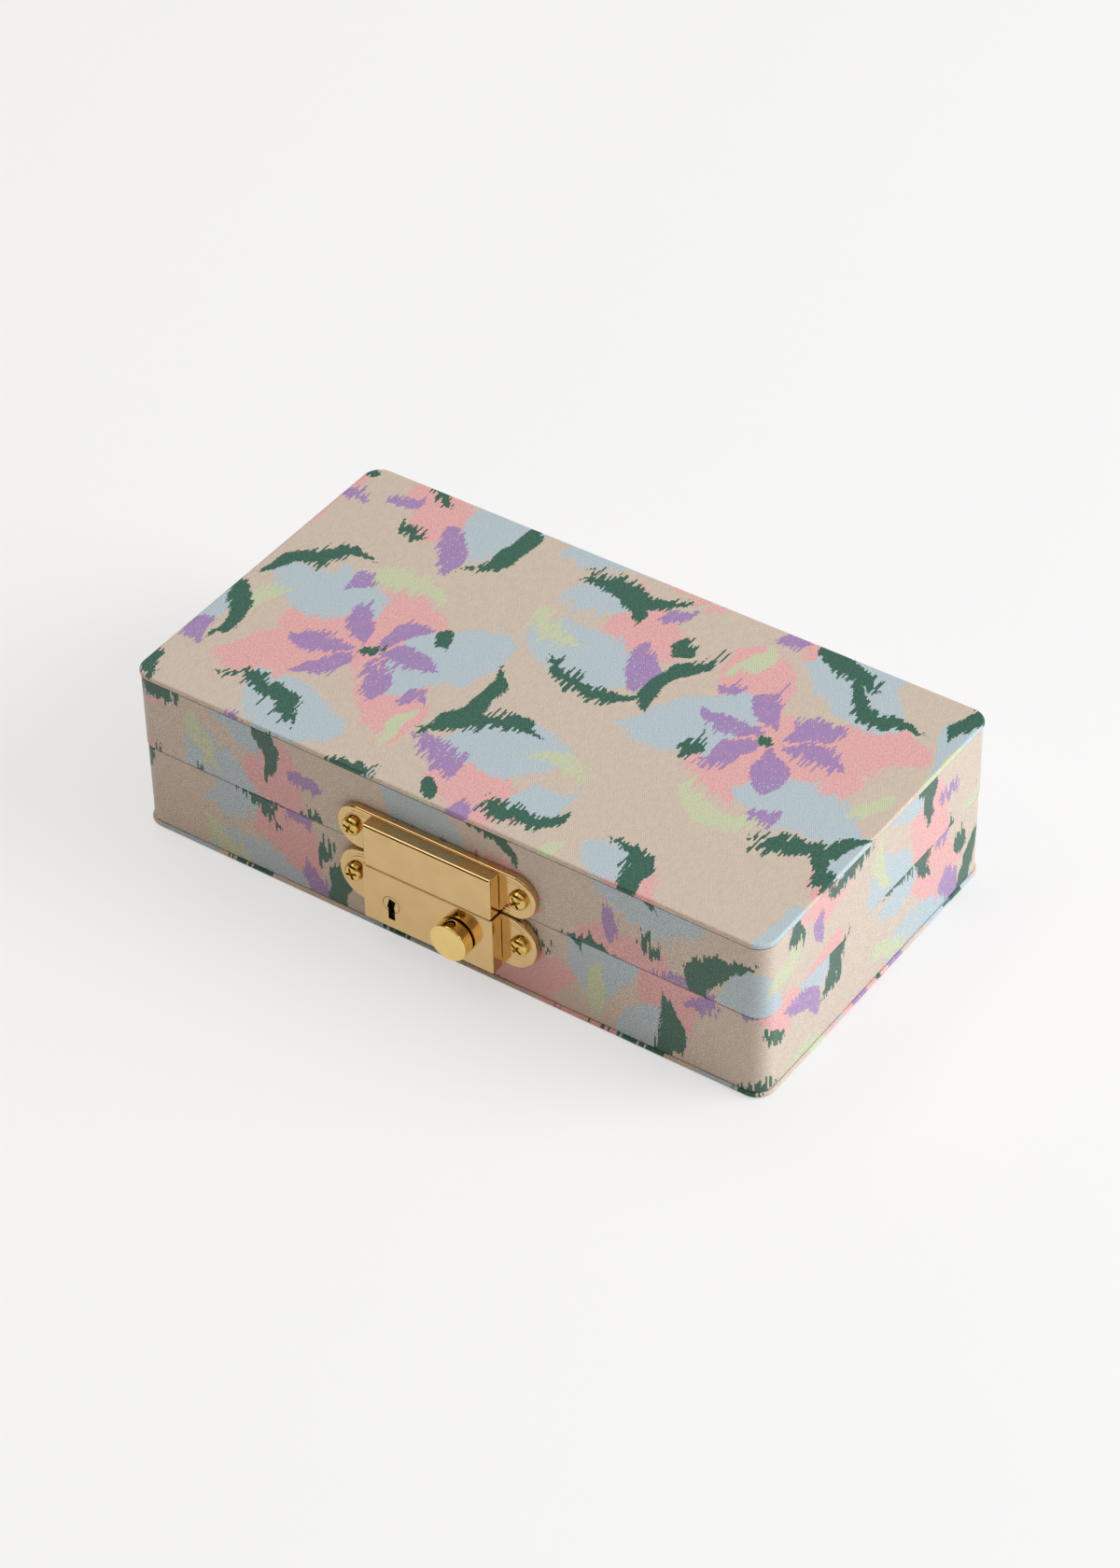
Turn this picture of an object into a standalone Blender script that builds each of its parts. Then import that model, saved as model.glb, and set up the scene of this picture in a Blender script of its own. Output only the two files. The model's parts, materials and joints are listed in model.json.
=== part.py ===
"""Fabric-covered jewelry box with a two-part sliding lock, each piece a separate solid."""
import math

import bmesh
import bpy
from mathutils import Vector

for leftover in list(bpy.data.objects):
    bpy.data.objects.remove(leftover)

# Driving sizes, in metres. The origin is the middle of the underside, with the front at -Y.
box_length = 0.2200
box_depth = 0.1204
box_height = 0.0581
seam_height = 0.0302
corner_radius = 0.0057
seam_gap = 0.0003
seat_gap = 0.0003
cut_overrun = 0.0010
corner_steps = 6
screw_steps = 12
round_steps = 16
fine_steps = 32

# Board walls, their fabric and their lining
wall_thickness = 0.0050
cover_thickness = 0.0006
lining_thickness = 0.0012
lining_drop = 0.0004
lid_step = 0.00025
board_thickness = 0.0008
board_edge_height = 0.0017
board_overhang = 0.00045
board_edge_radius = 0.0008
edge_round_steps = 3

# Tray fittings
floor_pad_thickness = 0.0020
divider_thickness = 0.0024
divider_height = 0.0215
ring_bay_width = 0.0720
front_tray_depth = 0.0560
back_tray_width = 0.0640
roll_count = 6
roll_height = 0.0140
roll_gap = 0.0006
roll_arc_steps = 10

# Padded panel inside the lid
pad_thickness = 0.0034
pad_crown = 0.0022
pad_edge_radius = 0.0020
pad_corner_radius = 0.0040
pad_steps = 4

# Lock plates, measured from the front fabric and from the seam
plate_thickness = 0.0022
plate_half_length = 0.0348
plate_rim = 0.0004
upper_plate_bottom = 0.0004
upper_plate_height = 0.0152
lower_plate_top = 0.0002
lower_plate_height = 0.0187
screw_end_inset = 0.0056
upper_screw_height = 0.0082
lower_screw_drop = 0.0093
screw_head_radius = 0.0031
screw_head_height = 0.0019
screw_shank_radius = 0.0012
screw_shank_length = 0.0042
screw_clearance = 0.0003

# Lock block on the lid and lock case on the base
block_half_width = 0.0223
block_bottom = 0.00015
block_height = 0.0148
block_depth = 0.0043
block_chamfer = 0.0003
case_half_width = 0.0228
case_top_drop = 0.0002
case_height = 0.0192
case_wall = 0.0009

# Sliding bolt, its stem and the knob
bolt_travel = 0.0044
bolt_thickness = 0.0012
stem_offset = 0.01025
stem_drop = 0.01115
stem_radius = 0.00175
slot_clearance = 0.0003
lobe_half_width = 0.0028
lobe_rise = 0.0023
bar_height = 0.0025
bar_end_margin = 0.0012
arm_width = 0.0026
nose_length = 0.0064
nose_height = 0.0028
nose_top_drop = 0.0019
knob_radius = 0.0062
knob_thickness = 0.0037
knob_stand_off = 0.0009
knob_chamfer = 0.0004
knob_bore_depth = 0.0030
set_screw_radius = 0.0012
set_screw_length = 0.0036
rail_height = 0.0018
rail_half_length = 0.0180

# Catch tongue that hangs from the lid block
tongue_foot_left = -0.0008
tongue_foot_length = 0.0037
tongue_foot_height = 0.0018
tongue_stem_width = 0.0037
tongue_root_margin = 0.0032
tongue_root_height = 0.0080
tongue_drop = 0.0068
tongue_clearance = 0.0005
boss_margin = 0.0004

# Key plug and keyway
plug_offset = -0.0129
plug_drop = 0.0112
plug_radius = 0.00265
plug_hub_radius = 0.0020
plug_slot_width = 0.0023
plug_slot_length = 0.0037
plug_slot_depth = 0.0013
plug_turned = math.radians(15)
finger_reach = 0.0039
finger_tip_radius = 0.0007
finger_thickness = 0.0008
finger_bar_gap = 0.0006
notch_near = 0.0011
notch_far = 0.0023
keyway_width = 0.0023
keyway_bottom_drop = 0.0057

# Detent spring under the bolt
spring_thickness = 0.0004
spring_half_length = 0.0100
spring_steps = 8

# Back hinges with a heel that stops the lid
hinge_offset = 0.0620
hinge_half_length = 0.0120
leaf_height = 0.0095
leaf_thickness = 0.0008
knuckle_radius = 0.0019
knuckle_gap = 0.0003
middle_knuckle_half = 0.0048
pin_radius = 0.00075
pin_clearance = 0.0003
pin_head_radius = 0.0015
pin_head_length = 0.0006
hinge_screw_reach = 0.0050
hinge_screw_drop = 0.0060
hinge_screw_head_radius = 0.0017
hinge_screw_head_height = 0.0009
hinge_screw_shank_radius = 0.0008
hinge_screw_shank_length = 0.0032
lid_open_angle = math.radians(95)
heel_width = 0.0026
heel_start = 0.0030
heel_end = 0.0060
heel_root_high = 0.0046
heel_root_low = 0.0080
heel_nose_drop = 0.0015

# Places worked out from the sizes above
half_length = box_length / 2
half_depth = box_depth / 2
front_y = -half_depth
skin = cover_thickness + seat_gap
wall_inset = skin
lining_inset = wall_inset + wall_thickness + seat_gap
room_inset = lining_inset + lining_thickness
base_wall_bottom = board_edge_height + seat_gap
base_rim = seam_height - seam_gap / 2
lid_rim = seam_height + seam_gap / 2
lid_wall_top = box_height - board_edge_height - seat_gap
floor_top = base_wall_bottom + floor_pad_thickness
divider_bottom = floor_top + seat_gap
hinge_y = half_depth + seat_gap + knuckle_radius
screw_reach = plate_half_length - screw_end_inset
plate_front = seat_gap + plate_thickness
block_back = plate_front + seat_gap
block_front = block_back + block_depth
bolt_front = block_front - case_wall - seat_gap
bolt_back = bolt_front - bolt_thickness
rail_front = bolt_back - seat_gap
bar_top = -plug_drop - finger_reach + finger_bar_gap
bar_bottom = bar_top - bar_height
case_top = -case_top_drop
case_bottom = case_top - case_height
arm_right = tongue_foot_left - seat_gap - bolt_travel - seat_gap / 2
arm_left = arm_right - arm_width
nose_tip = arm_left + nose_length
stem_right = tongue_foot_left + tongue_foot_length + tongue_stem_width


def make_material(name, colour, roughness, metallic=0.0):
    """One finish: colour, roughness and metallic value on a Principled shader."""
    material = bpy.data.materials.new(name)
    material.use_nodes = True
    shader = material.node_tree.nodes["Principled BSDF"]
    shader.inputs["Base Color"].default_value = (*colour, 1.0)
    shader.inputs["Roughness"].default_value = roughness
    shader.inputs["Metallic"].default_value = metallic
    material.diffuse_color = (*colour, 1.0)
    return material


def finish(name, mesh_data, material, pivot=None, smooth_angle=math.radians(35)):
    """Turn a bmesh in world places into a named object whose origin is its pivot."""
    bmesh.ops.recalc_face_normals(mesh_data, faces=mesh_data.faces)
    place = pivot.location if pivot else Vector((0, 0, 0))
    bmesh.ops.translate(mesh_data, verts=mesh_data.verts, vec=-Vector(place))
    mesh = bpy.data.meshes.new(name)
    mesh_data.to_mesh(mesh)
    mesh_data.free()
    mesh.materials.append(material)
    mesh.shade_smooth()
    mesh.set_sharp_from_angle(angle=smooth_angle)
    part = bpy.data.objects.new(name, mesh)
    bpy.context.scene.collection.objects.link(part)
    if pivot:
        part.parent = pivot
    return part


def loft(loops, closed=False, mesh_data=None):
    """Skin matching loops of points; a closed loft is a ring, an open one gets end caps."""
    mesh_data = mesh_data or bmesh.new()
    rows = [[mesh_data.verts.new(point) for point in loop] for loop in loops]
    pairs = list(zip(rows, rows[1:]))
    if closed:
        pairs.append((rows[-1], rows[0]))
    for near, far in pairs:
        for index in range(len(near)):
            following = (index + 1) % len(near)
            mesh_data.faces.new((near[index], near[following], far[following], far[index]))
    if not closed:
        mesh_data.faces.new(rows[0])
        mesh_data.faces.new(rows[-1])
    return mesh_data


def rounded_rectangle(half_x, half_y, radius, z):
    """Loop of a rectangle with round corners, seen from above."""
    points = []
    for sign_x, sign_y, start in ((1, 1, 0), (-1, 1, 1), (-1, -1, 2), (1, -1, 3)):
        for step in range(corner_steps + 1):
            angle = (start + step / corner_steps) * math.pi / 2
            points.append((sign_x * (half_x - radius) + radius * math.cos(angle),
                           sign_y * (half_y - radius) + radius * math.sin(angle), z))
    return points


def box_outline(inset, z):
    """The box's own outline, drawn in by an inset, with its corners on the same centres."""
    radius = max(corner_radius - inset, cover_thickness)
    return rounded_rectangle(half_length - inset, half_depth - inset, radius, z)


def block(x0, x1, y0, y1, z0, z1, mesh_data=None):
    """Plain rectangular solid between two corners."""
    lower = [(x0, y0, z0), (x1, y0, z0), (x1, y1, z0), (x0, y1, z0)]
    upper = [(x, y, z1) for x, y, z in lower]
    return loft([lower, upper], mesh_data=mesh_data)


def front_prism(outline, near, far, mesh_data=None):
    """Extrude an outline in X and height above the seam between two depths off the front."""
    loops = [[(x, front_y - depth, seam_height + z) for x, z in outline] for depth in (near, far)]
    return loft(loops, mesh_data=mesh_data)


def rectangle(x0, x1, z0, z1):
    """Four corners of an upright rectangle."""
    return [(x0, z0), (x1, z0), (x1, z1), (x0, z1)]


def stadium(half_reach, bottom, height, inset=0.0):
    """Outline of a plate with two half-round ends."""
    radius = height / 2
    points = []
    for side in (1, -1):
        for step in range(round_steps + 1):
            angle = side * (step / round_steps - 1 / 2) * math.pi
            across = side * (half_reach - radius + (radius - inset) * math.cos(angle))
            points.append((across, bottom + radius + side * (radius - inset) * math.sin(side * angle)))
    return points


def turned(profile, centre, direction, steps, mesh_data=None):
    """Turn a profile of (radius, distance) pairs about a line through a point."""
    axis = Vector(direction).normalized()
    across = axis.orthogonal().normalized()
    up = axis.cross(across)
    loops = []
    for radius, distance in profile:
        middle = Vector(centre) + axis * distance
        turn = [step * 2 * math.pi / steps for step in range(steps)]
        loops.append([middle + (across * math.cos(a) + up * math.sin(a)) * radius for a in turn])
    return loft(loops, mesh_data=mesh_data)


def combine(part, tool_data, operation="DIFFERENCE"):
    """Cut a tool out of a part, or join it on, with an exact Boolean that is then applied."""
    bmesh.ops.recalc_face_normals(tool_data, faces=tool_data.faces)
    mesh = bpy.data.meshes.new("tool")
    tool_data.to_mesh(mesh)
    tool_data.free()
    tool = bpy.data.objects.new("tool", mesh)
    bpy.context.scene.collection.objects.link(tool)
    modifier = part.modifiers.new("combine", 'BOOLEAN')
    modifier.operation = operation
    modifier.solver = 'EXACT'
    modifier.object = tool
    bpy.context.view_layer.update()
    with bpy.context.temp_override(object=part, active_object=part):
        bpy.ops.object.modifier_apply(modifier=modifier.name)
    bpy.data.objects.remove(tool)
    bpy.data.meshes.remove(mesh)


def make_pivot(name, place):
    """Empty on a joint's axis, which carries the pieces that move together."""
    pivot = bpy.data.objects.new(name, None)
    pivot.location = place
    bpy.context.scene.collection.objects.link(pivot)
    return pivot


# Boards and walls
def make_board_cover(name, turn_over, material, pivot=None):
    """Fabric wrapped over one thin board: a shallow cap with a soft outer edge."""
    def level(distance):
        return distance if turn_over else box_height - distance

    def edge_loop(inset, distance):
        radius = corner_radius + board_overhang - inset
        return rounded_rectangle(half_length + board_overhang - inset,
                                 half_depth + board_overhang - inset, radius, level(distance))

    loops = [edge_loop(cover_thickness, cover_thickness), edge_loop(cover_thickness, board_edge_height),
             edge_loop(0, board_edge_height)]
    for step in range(edge_round_steps + 1):
        angle = step / edge_round_steps * math.pi / 2
        inset = board_edge_radius * (1 - math.cos(angle))
        loops.append(edge_loop(inset, board_edge_radius * (1 - math.sin(angle))))
    return finish(name, loft(loops), material, pivot)


def make_board(name, turn_over, material, pivot=None):
    """Thin greyboard inside the wrapped cover."""
    near = cover_thickness + seat_gap
    inset = skin - board_overhang
    levels = [near, near + board_thickness]
    if not turn_over:
        levels = [box_height - level for level in levels]
    return finish(name, loft([box_outline(inset, level) for level in levels]), material, pivot)


def make_walls(prefix, bottom, top, extra_inset, material, pivot=None):
    """Two long walls with rounded outer corners, and two short walls between them."""
    inset = wall_inset + extra_inset
    radius = corner_radius - inset
    walls = {}
    for side, sign in (("front", -1), ("back", 1)):
        inner = sign * (half_depth - inset - wall_thickness)
        outline = [(half_length - inset, inner)]
        for step in range(corner_steps + 1):
            angle = step / corner_steps * math.pi / 2
            outline.append((half_length - inset - radius + radius * math.cos(angle),
                            sign * (half_depth - inset - radius + radius * math.sin(angle))))
        outline += [(-x, y) for x, y in reversed(outline)]
        loops = [[(x, y, z) for x, y in outline] for z in (bottom, top)]
        walls[side] = finish(f"{prefix}_{side}_wall", loft(loops), material, pivot)
    reach = half_depth - inset - wall_thickness - seat_gap
    for side, sign in (("left", -1), ("right", 1)):
        outer = sign * (half_length - inset)
        inner = sign * (half_length - inset - wall_thickness)
        data = block(min(outer, inner), max(outer, inner), -reach, reach, bottom, top)
        walls[side] = finish(f"{prefix}_{side}_wall", data, material, pivot)
    return walls


def make_wrap(name, outer_inset, hem_level, rim_level, material, pivot=None):
    """Fabric glued round the walls, and turned over their rim as far as the lining."""
    turn_level = rim_level + math.copysign(cover_thickness, hem_level - rim_level)
    inner_inset = outer_inset + cover_thickness
    lip_inset = outer_inset + wall_inset + wall_thickness
    section = ((inner_inset, hem_level), (outer_inset, hem_level), (outer_inset, rim_level),
               (lip_inset, rim_level), (lip_inset, turn_level), (inner_inset, turn_level))
    loops = [box_outline(inset, level) for inset, level in section]
    return finish(name, loft(loops, closed=True), material, pivot)


def make_lining(name, outer_inset, bottom, top, material, pivot=None):
    """Card and velvet sleeve that stands inside the walls."""
    section = ((outer_inset + lining_thickness, bottom), (outer_inset, bottom), (outer_inset, top),
               (outer_inset + lining_thickness, top))
    loops = [box_outline(inset, level) for inset, level in section]
    return finish(name, loft(loops, closed=True), material, pivot)


# Tray fittings
def make_tray(velvet, card):
    """Floor pad, three dividers and the row of ring rolls."""
    inset = room_inset + lid_step
    edge = inset + seat_gap
    floor = [box_outline(edge, z) for z in (base_wall_bottom, floor_top)]
    finish("base_floor_pad", loft(floor), velvet)
    room_x = half_length - edge
    room_y = half_depth - edge
    top = divider_bottom + divider_height
    main_left = -room_x + ring_bay_width
    main_right = main_left + divider_thickness
    finish("divider_main", block(main_left, main_right, -room_y, room_y, divider_bottom, top), velvet)
    long_front = -room_y + front_tray_depth
    long_back = long_front + divider_thickness
    long_left = main_right + seat_gap
    finish("divider_long", block(long_left, room_x, long_front, long_back, divider_bottom, top), velvet)
    short_left = long_left + back_tray_width
    short = block(short_left, short_left + divider_thickness, long_back + seat_gap, room_y,
                  divider_bottom, top)
    finish("divider_short", short, velvet)
    pitch = ring_bay_width / roll_count
    radius = (pitch - roll_gap) / 2
    for number in range(roll_count):
        middle = -room_x + pitch * (number + 1 / 2)
        outline = [(middle + radius, divider_bottom), (middle - radius, divider_bottom)]
        shoulder = divider_bottom + roll_height - radius
        for step in range(roll_arc_steps + 1):
            angle = math.pi * (1 - step / roll_arc_steps)
            outline.append((middle + radius * math.cos(angle), shoulder + radius * math.sin(angle)))
        loops = [[(x, y, z) for x, z in outline] for y in (-room_y, room_y)]
        finish(f"ring_roll_{number + 1}", loft(loops), card)


def make_lid_pad(material, pivot):
    """Padded panel glued under the lid board, crowned towards the room."""
    edge = room_inset + seat_gap
    half_x, half_y = half_length - edge, half_depth - edge
    root = lid_wall_top - pad_thickness
    loops = [rounded_rectangle(half_x, half_y, pad_corner_radius, lid_wall_top)]
    for step in range(pad_steps + 1):
        angle = step / pad_steps * math.pi / 2
        inset = pad_edge_radius * (1 - math.cos(angle))
        loops.append(rounded_rectangle(half_x - inset, half_y - inset, pad_corner_radius - inset,
                                       root - pad_crown * math.sin(angle)))
    return finish("lid_pad", loft(loops), material, pivot)


# Lock plates and screws
def screw_places(height):
    """The two screw centres of one plate."""
    return [(side * screw_reach, height) for side in (-1, 1)]


def make_plate(name, bottom, height, screw_height, gold, pivot=None):
    """Cast plate with half-round ends, a soft front rim and two screw holes."""
    loops = []
    for inset, depth in ((0, seat_gap), (0, plate_front - plate_rim), (plate_rim, plate_front)):
        outline = stadium(plate_half_length, bottom, height, inset)
        loops.append([(x, front_y - depth, seam_height + z) for x, z in outline])
    plate = finish(name, loft(loops), gold, pivot)
    for x, z in screw_places(screw_height):
        hole = screw_shank_radius + screw_clearance
        profile = [(hole, -cut_overrun), (hole, plate_front + cut_overrun)]
        combine(plate, turned(profile, (x, front_y, seam_height + z), (0, -1, 0), screw_steps))
    return plate


def make_plate_screws(prefix, screw_height, gold, pivot=None):
    """Two round-head screws, each turned from its blunt tip to its dome."""
    seat = plate_front + seat_gap
    profile = [(screw_shank_radius, plate_front - plate_thickness - screw_shank_length),
               (screw_shank_radius, seat), (screw_head_radius, seat)]
    for step in range(1, edge_round_steps + 1):
        angle = step / (edge_round_steps + 1) * math.pi / 2
        profile.append((screw_head_radius * math.cos(angle), seat + screw_head_height * math.sin(angle)))
    for side, (x, z) in zip(("left", "right"), screw_places(screw_height)):
        data = turned(profile, (x, front_y, seam_height + z), (0, -1, 0), round_steps)
        finish(f"{prefix}_{side}_screw", data, gold, pivot)


def bore_front(parts, screw_height):
    """Pilot holes for the plate screws through the fabric and into the front wall."""
    depth = screw_shank_length + screw_clearance
    radius = screw_shank_radius + screw_clearance
    for part in parts:
        for x, z in screw_places(screw_height):
            profile = [(radius, -depth), (radius, cut_overrun)]
            combine(part, turned(profile, (x, front_y, seam_height + z), (0, -1, 0), screw_steps))


# Lid side of the lock
def make_block(gold, steel, pivot):
    """Block on the lid plate, recessed from behind for the catch tongue."""
    top = block_bottom + block_height
    loops = []
    for inset, depth in ((0, block_back), (0, block_front - block_chamfer), (block_chamfer, block_front)):
        outline = rectangle(inset - block_half_width, block_half_width - inset, block_bottom + inset,
                            top - inset)
        loops.append([(x, front_y - depth, seam_height + z) for x, z in outline])
    cap = finish("upper_block", loft(loops), gold, pivot)
    left = tongue_foot_left - tongue_root_margin
    right = stem_right + tongue_root_margin
    root_top = block_bottom + tongue_root_height
    recess = rectangle(left - seat_gap, right + seat_gap, block_bottom - cut_overrun, root_top + seat_gap)
    combine(cap, front_prism(recess, block_back - cut_overrun, bolt_front + seat_gap))

    foot_bottom = -tongue_drop
    foot_top = foot_bottom + tongue_foot_height
    stem_left = stem_right - tongue_stem_width
    shoulder = block_bottom + seat_gap
    outline = [(tongue_foot_left, foot_bottom), (stem_right, foot_bottom), (stem_right, shoulder),
               (right, shoulder), (right, root_top), (left, root_top), (left, shoulder),
               (stem_left, shoulder), (stem_left, foot_top), (tongue_foot_left, foot_top)]
    finish("catch_tongue", front_prism(outline, bolt_back, bolt_front), steel, pivot)

    plate = bpy.data.objects["upper_plate"]
    boss = rectangle(left + boss_margin, right - boss_margin, shoulder + boss_margin,
                     root_top - boss_margin)
    combine(plate, front_prism(boss, plate_front - cut_overrun, rail_front), 'UNION')


# Base side of the lock
def make_case(gold, steel):
    """Cast case open at the back, with holes for the plug, the key, the stem and the tongue."""
    loops = []
    shell = ((case_wall, block_front - case_wall), (case_wall, block_back), (0, block_back),
             (0, block_front - block_chamfer), (block_chamfer, block_front))
    for inset, depth in shell:
        outline = rectangle(inset - case_half_width, case_half_width - inset, case_bottom + inset,
                            case_top - inset)
        loops.append([(x, front_y - depth, seam_height + z) for x, z in outline])
    case = finish("lock_case", loft(loops), gold)

    hole = plug_radius + seat_gap
    back, front = block_front - case_wall - cut_overrun / 2, block_front + cut_overrun
    centre = (plug_offset, front_y, seam_height - plug_drop)
    combine(case, turned([(hole, back), (hole, front)], centre, (0, -1, 0), fine_steps))
    keyway = rectangle(plug_offset - keyway_width / 2, plug_offset + keyway_width / 2,
                       -plug_drop - keyway_bottom_drop, -plug_drop - plug_hub_radius)
    combine(case, front_prism(keyway, back, front))

    slot_radius = stem_radius + slot_clearance
    outline = []
    for end, start in ((stem_offset + bolt_travel, -1), (stem_offset, 1)):
        for step in range(corner_steps + 1):
            angle = (start / 2 + step / corner_steps) * math.pi
            outline.append((end + slot_radius * math.cos(angle),
                            slot_radius * math.sin(angle) - stem_drop))
    combine(case, front_prism(outline, back, front))

    gate = rectangle(tongue_foot_left - tongue_clearance, stem_right + tongue_clearance,
                     case_top - case_wall - cut_overrun / 2, case_top + cut_overrun)
    combine(case, front_prism(gate, rail_front, bolt_front + seat_gap))

    rail = rectangle(-rail_half_length, rail_half_length, bar_bottom + seat_gap,
                     bar_bottom + seat_gap + rail_height)
    plate = bpy.data.objects["lower_plate"]
    combine(plate, front_prism(rail, plate_front - cut_overrun, rail_front), 'UNION')

    floor = case_bottom + case_wall + seat_gap
    rise = bar_bottom - seat_gap - spring_thickness - floor
    under, over = [], []
    for step in range(spring_steps + 1):
        share = 2 * step / spring_steps - 1
        lift = floor + rise * (1 - share * share)
        under.append((share * spring_half_length, lift))
        over.append((share * spring_half_length, lift + spring_thickness))
    spring_outline = under + list(reversed(over))
    finish("detent_spring", front_prism(spring_outline, bolt_back, bolt_front), steel)


def make_bolt(gold, steel):
    """Stamped bolt with two key notches, a nose for the tongue, a stem and the knob on it."""
    pivot = make_pivot("bolt_slide", (stem_offset, front_y - bolt_front, seam_height - stem_drop))
    notch_bottom = -plug_drop - finger_reach - seat_gap
    bar_right = stem_offset + lobe_half_width
    lobe_top = lobe_rise - stem_drop
    nose_top = -nose_top_drop
    nose_bottom = nose_top - nose_height
    outline = [(bar_right, bar_bottom), (bar_right, lobe_top),
               (stem_offset - lobe_half_width, lobe_top), (stem_offset - lobe_half_width, bar_top),
               (arm_right, bar_top), (arm_right, nose_bottom), (nose_tip, nose_bottom),
               (nose_tip, nose_top), (arm_left, nose_top), (arm_left, bar_top)]
    for shift in (0, bolt_travel):
        near, far = plug_offset + notch_far - shift, plug_offset - notch_near - shift
        outline += [(near, bar_top), (near, notch_bottom), (far, notch_bottom), (far, bar_top)]
    bar_left = plug_offset - notch_near - bolt_travel - bar_end_margin
    outline += [(bar_left, bar_top), (bar_left, bar_bottom)]
    bolt = finish("lock_bolt", front_prism(outline, bolt_back, bolt_front), steel, pivot)
    knob_back = block_front + knob_stand_off
    knob_front = knob_back + knob_thickness
    centre = (stem_offset, front_y, seam_height - stem_drop)
    stem_tip = knob_back + knob_bore_depth - seat_gap
    stem_root = bolt_back + bolt_thickness / 2
    stem = turned([(stem_radius, stem_root), (stem_radius, stem_tip)], centre, (0, -1, 0), round_steps)
    combine(bolt, stem, 'UNION')

    small = knob_radius - knob_chamfer
    profile = [(small, knob_back), (knob_radius, knob_back + knob_chamfer),
               (knob_radius, knob_front - knob_chamfer), (small, knob_front)]
    knob = finish("lock_knob", turned(profile, centre, (0, -1, 0), fine_steps), gold, pivot)
    bore = stem_radius + seat_gap
    profile = [(bore, knob_back - cut_overrun), (bore, knob_back + knob_bore_depth)]
    combine(knob, turned(profile, centre, (0, -1, 0), round_steps))
    screw_depth = (knob_back + knob_front) / 2
    screw_root = (stem_offset, front_y - screw_depth, seam_height - stem_drop)
    hole = set_screw_radius + seat_gap
    combine(knob, turned([(hole, 0), (hole, knob_radius + cut_overrun)], screw_root, (0, 0, 1), round_steps))
    start = stem_radius + seat_gap
    profile = [(set_screw_radius, start), (set_screw_radius, start + set_screw_length)]
    finish("knob_set_screw", turned(profile, screw_root, (0, 0, 1), round_steps), gold, pivot)


def make_plug(gold):
    """Key plug with its slot, a hub behind it and the finger that drops into a bolt notch."""
    centre = (plug_offset, front_y, seam_height - plug_drop)
    pivot = make_pivot("plug_axis", centre)
    step_depth = bolt_front + seat_gap / 2
    profile = [(plug_hub_radius, rail_front), (plug_hub_radius, step_depth),
               (plug_radius, step_depth), (plug_radius, block_front)]
    plug = finish("key_plug", turned(profile, centre, (0, -1, 0), fine_steps), gold, pivot)
    outline = []
    tip = finger_reach - finger_tip_radius
    for along, across in ((0, finger_tip_radius), (0, -finger_tip_radius)):
        outline.append((along, across))
    for step in range(corner_steps + 1):
        angle = (step / corner_steps - 1 / 2) * math.pi
        outline.append((tip + finger_tip_radius * math.cos(angle), finger_tip_radius * math.sin(angle)))
    cos_turn, sin_turn = math.cos(plug_turned), math.sin(plug_turned)
    outline = [(plug_offset + x * cos_turn + z * sin_turn, z * cos_turn - x * sin_turn - plug_drop)
               for x, z in outline]
    finger = front_prism(outline, bolt_back, bolt_back + finger_thickness)
    combine(plug, finger, 'UNION')
    half_w, half_h = plug_slot_width / 2, plug_slot_length / 2
    corners = rectangle(-half_w, half_w, -half_h, half_h)
    corners = [(plug_offset + x * cos_turn + z * sin_turn, z * cos_turn - x * sin_turn - plug_drop)
               for x, z in corners]
    combine(plug, front_prism(corners, block_front - plug_slot_depth, block_front + cut_overrun))


# Hinges
def hinge_point(across, height):
    """Point off the hinge pin, outwards and upwards."""
    return (hinge_y + across, seam_height + height)


def heel_top(across):
    """Height at which the heel meets the lid leaf when the lid is open."""
    leaf_face = knuckle_radius - leaf_thickness
    lean = math.tan(lid_open_angle - math.pi / 2)
    return leaf_face / math.cos(lid_open_angle - math.pi / 2) - across * lean - seat_gap


def x_prism(outline, x0, x1, mesh_data=None):
    """Extrude a side view, in Y and Z, along X."""
    return loft([[(x, y, z) for y, z in outline] for x in (x0, x1)], mesh_data=mesh_data)


def make_leaf(name, middle_x, upward, brass, pivot=None):
    """One leaf: flat plate with its rolled knuckles, a pin bore and two screw holes."""
    back, face = -knuckle_radius, leaf_thickness - knuckle_radius
    sign = 1 if upward else -1
    sweep = math.pi + math.acos(face / knuckle_radius)
    outline = [(back, -leaf_height)]
    for step in range(round_steps + 1):
        angle = math.pi - sweep * step / round_steps
        outline.append((knuckle_radius * math.cos(angle), knuckle_radius * math.sin(angle)))
    outline.append((face, -leaf_height))
    outline = [hinge_point(y, -sign * z) for y, z in outline]
    left, right = middle_x - hinge_half_length, middle_x + hinge_half_length
    leaf = finish(name, x_prism(outline, left, right), brass, pivot)

    room = knuckle_radius + knuckle_gap
    top = knuckle_radius + cut_overrun
    levels = sorted((seam_height + sign * room, seam_height - sign * top))
    if upward:
        spans = [(left - cut_overrun, middle_x - middle_knuckle_half),
                 (middle_x + middle_knuckle_half, right + cut_overrun)]
    else:
        reach = middle_knuckle_half + knuckle_gap
        spans = [(middle_x - reach, middle_x + reach)]
    for x0, x1 in spans:
        combine(leaf, block(x0, x1, hinge_y - top, hinge_y + top, *levels))
    bore = pin_radius + pin_clearance
    profile = [(bore, -cut_overrun), (bore, hinge_half_length * 2 + cut_overrun)]
    combine(leaf, turned(profile, (left, hinge_y, seam_height), (1, 0, 0), round_steps))
    for x, z in hinge_screw_places(middle_x, upward):
        hole = hinge_screw_shank_radius + screw_clearance
        profile = [(hole, 0), (hole, leaf_thickness + cut_overrun * 2)]
        start = (x, half_depth + seat_gap - cut_overrun, z)
        combine(leaf, turned(profile, start, (0, 1, 0), screw_steps))
    return leaf


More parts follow.
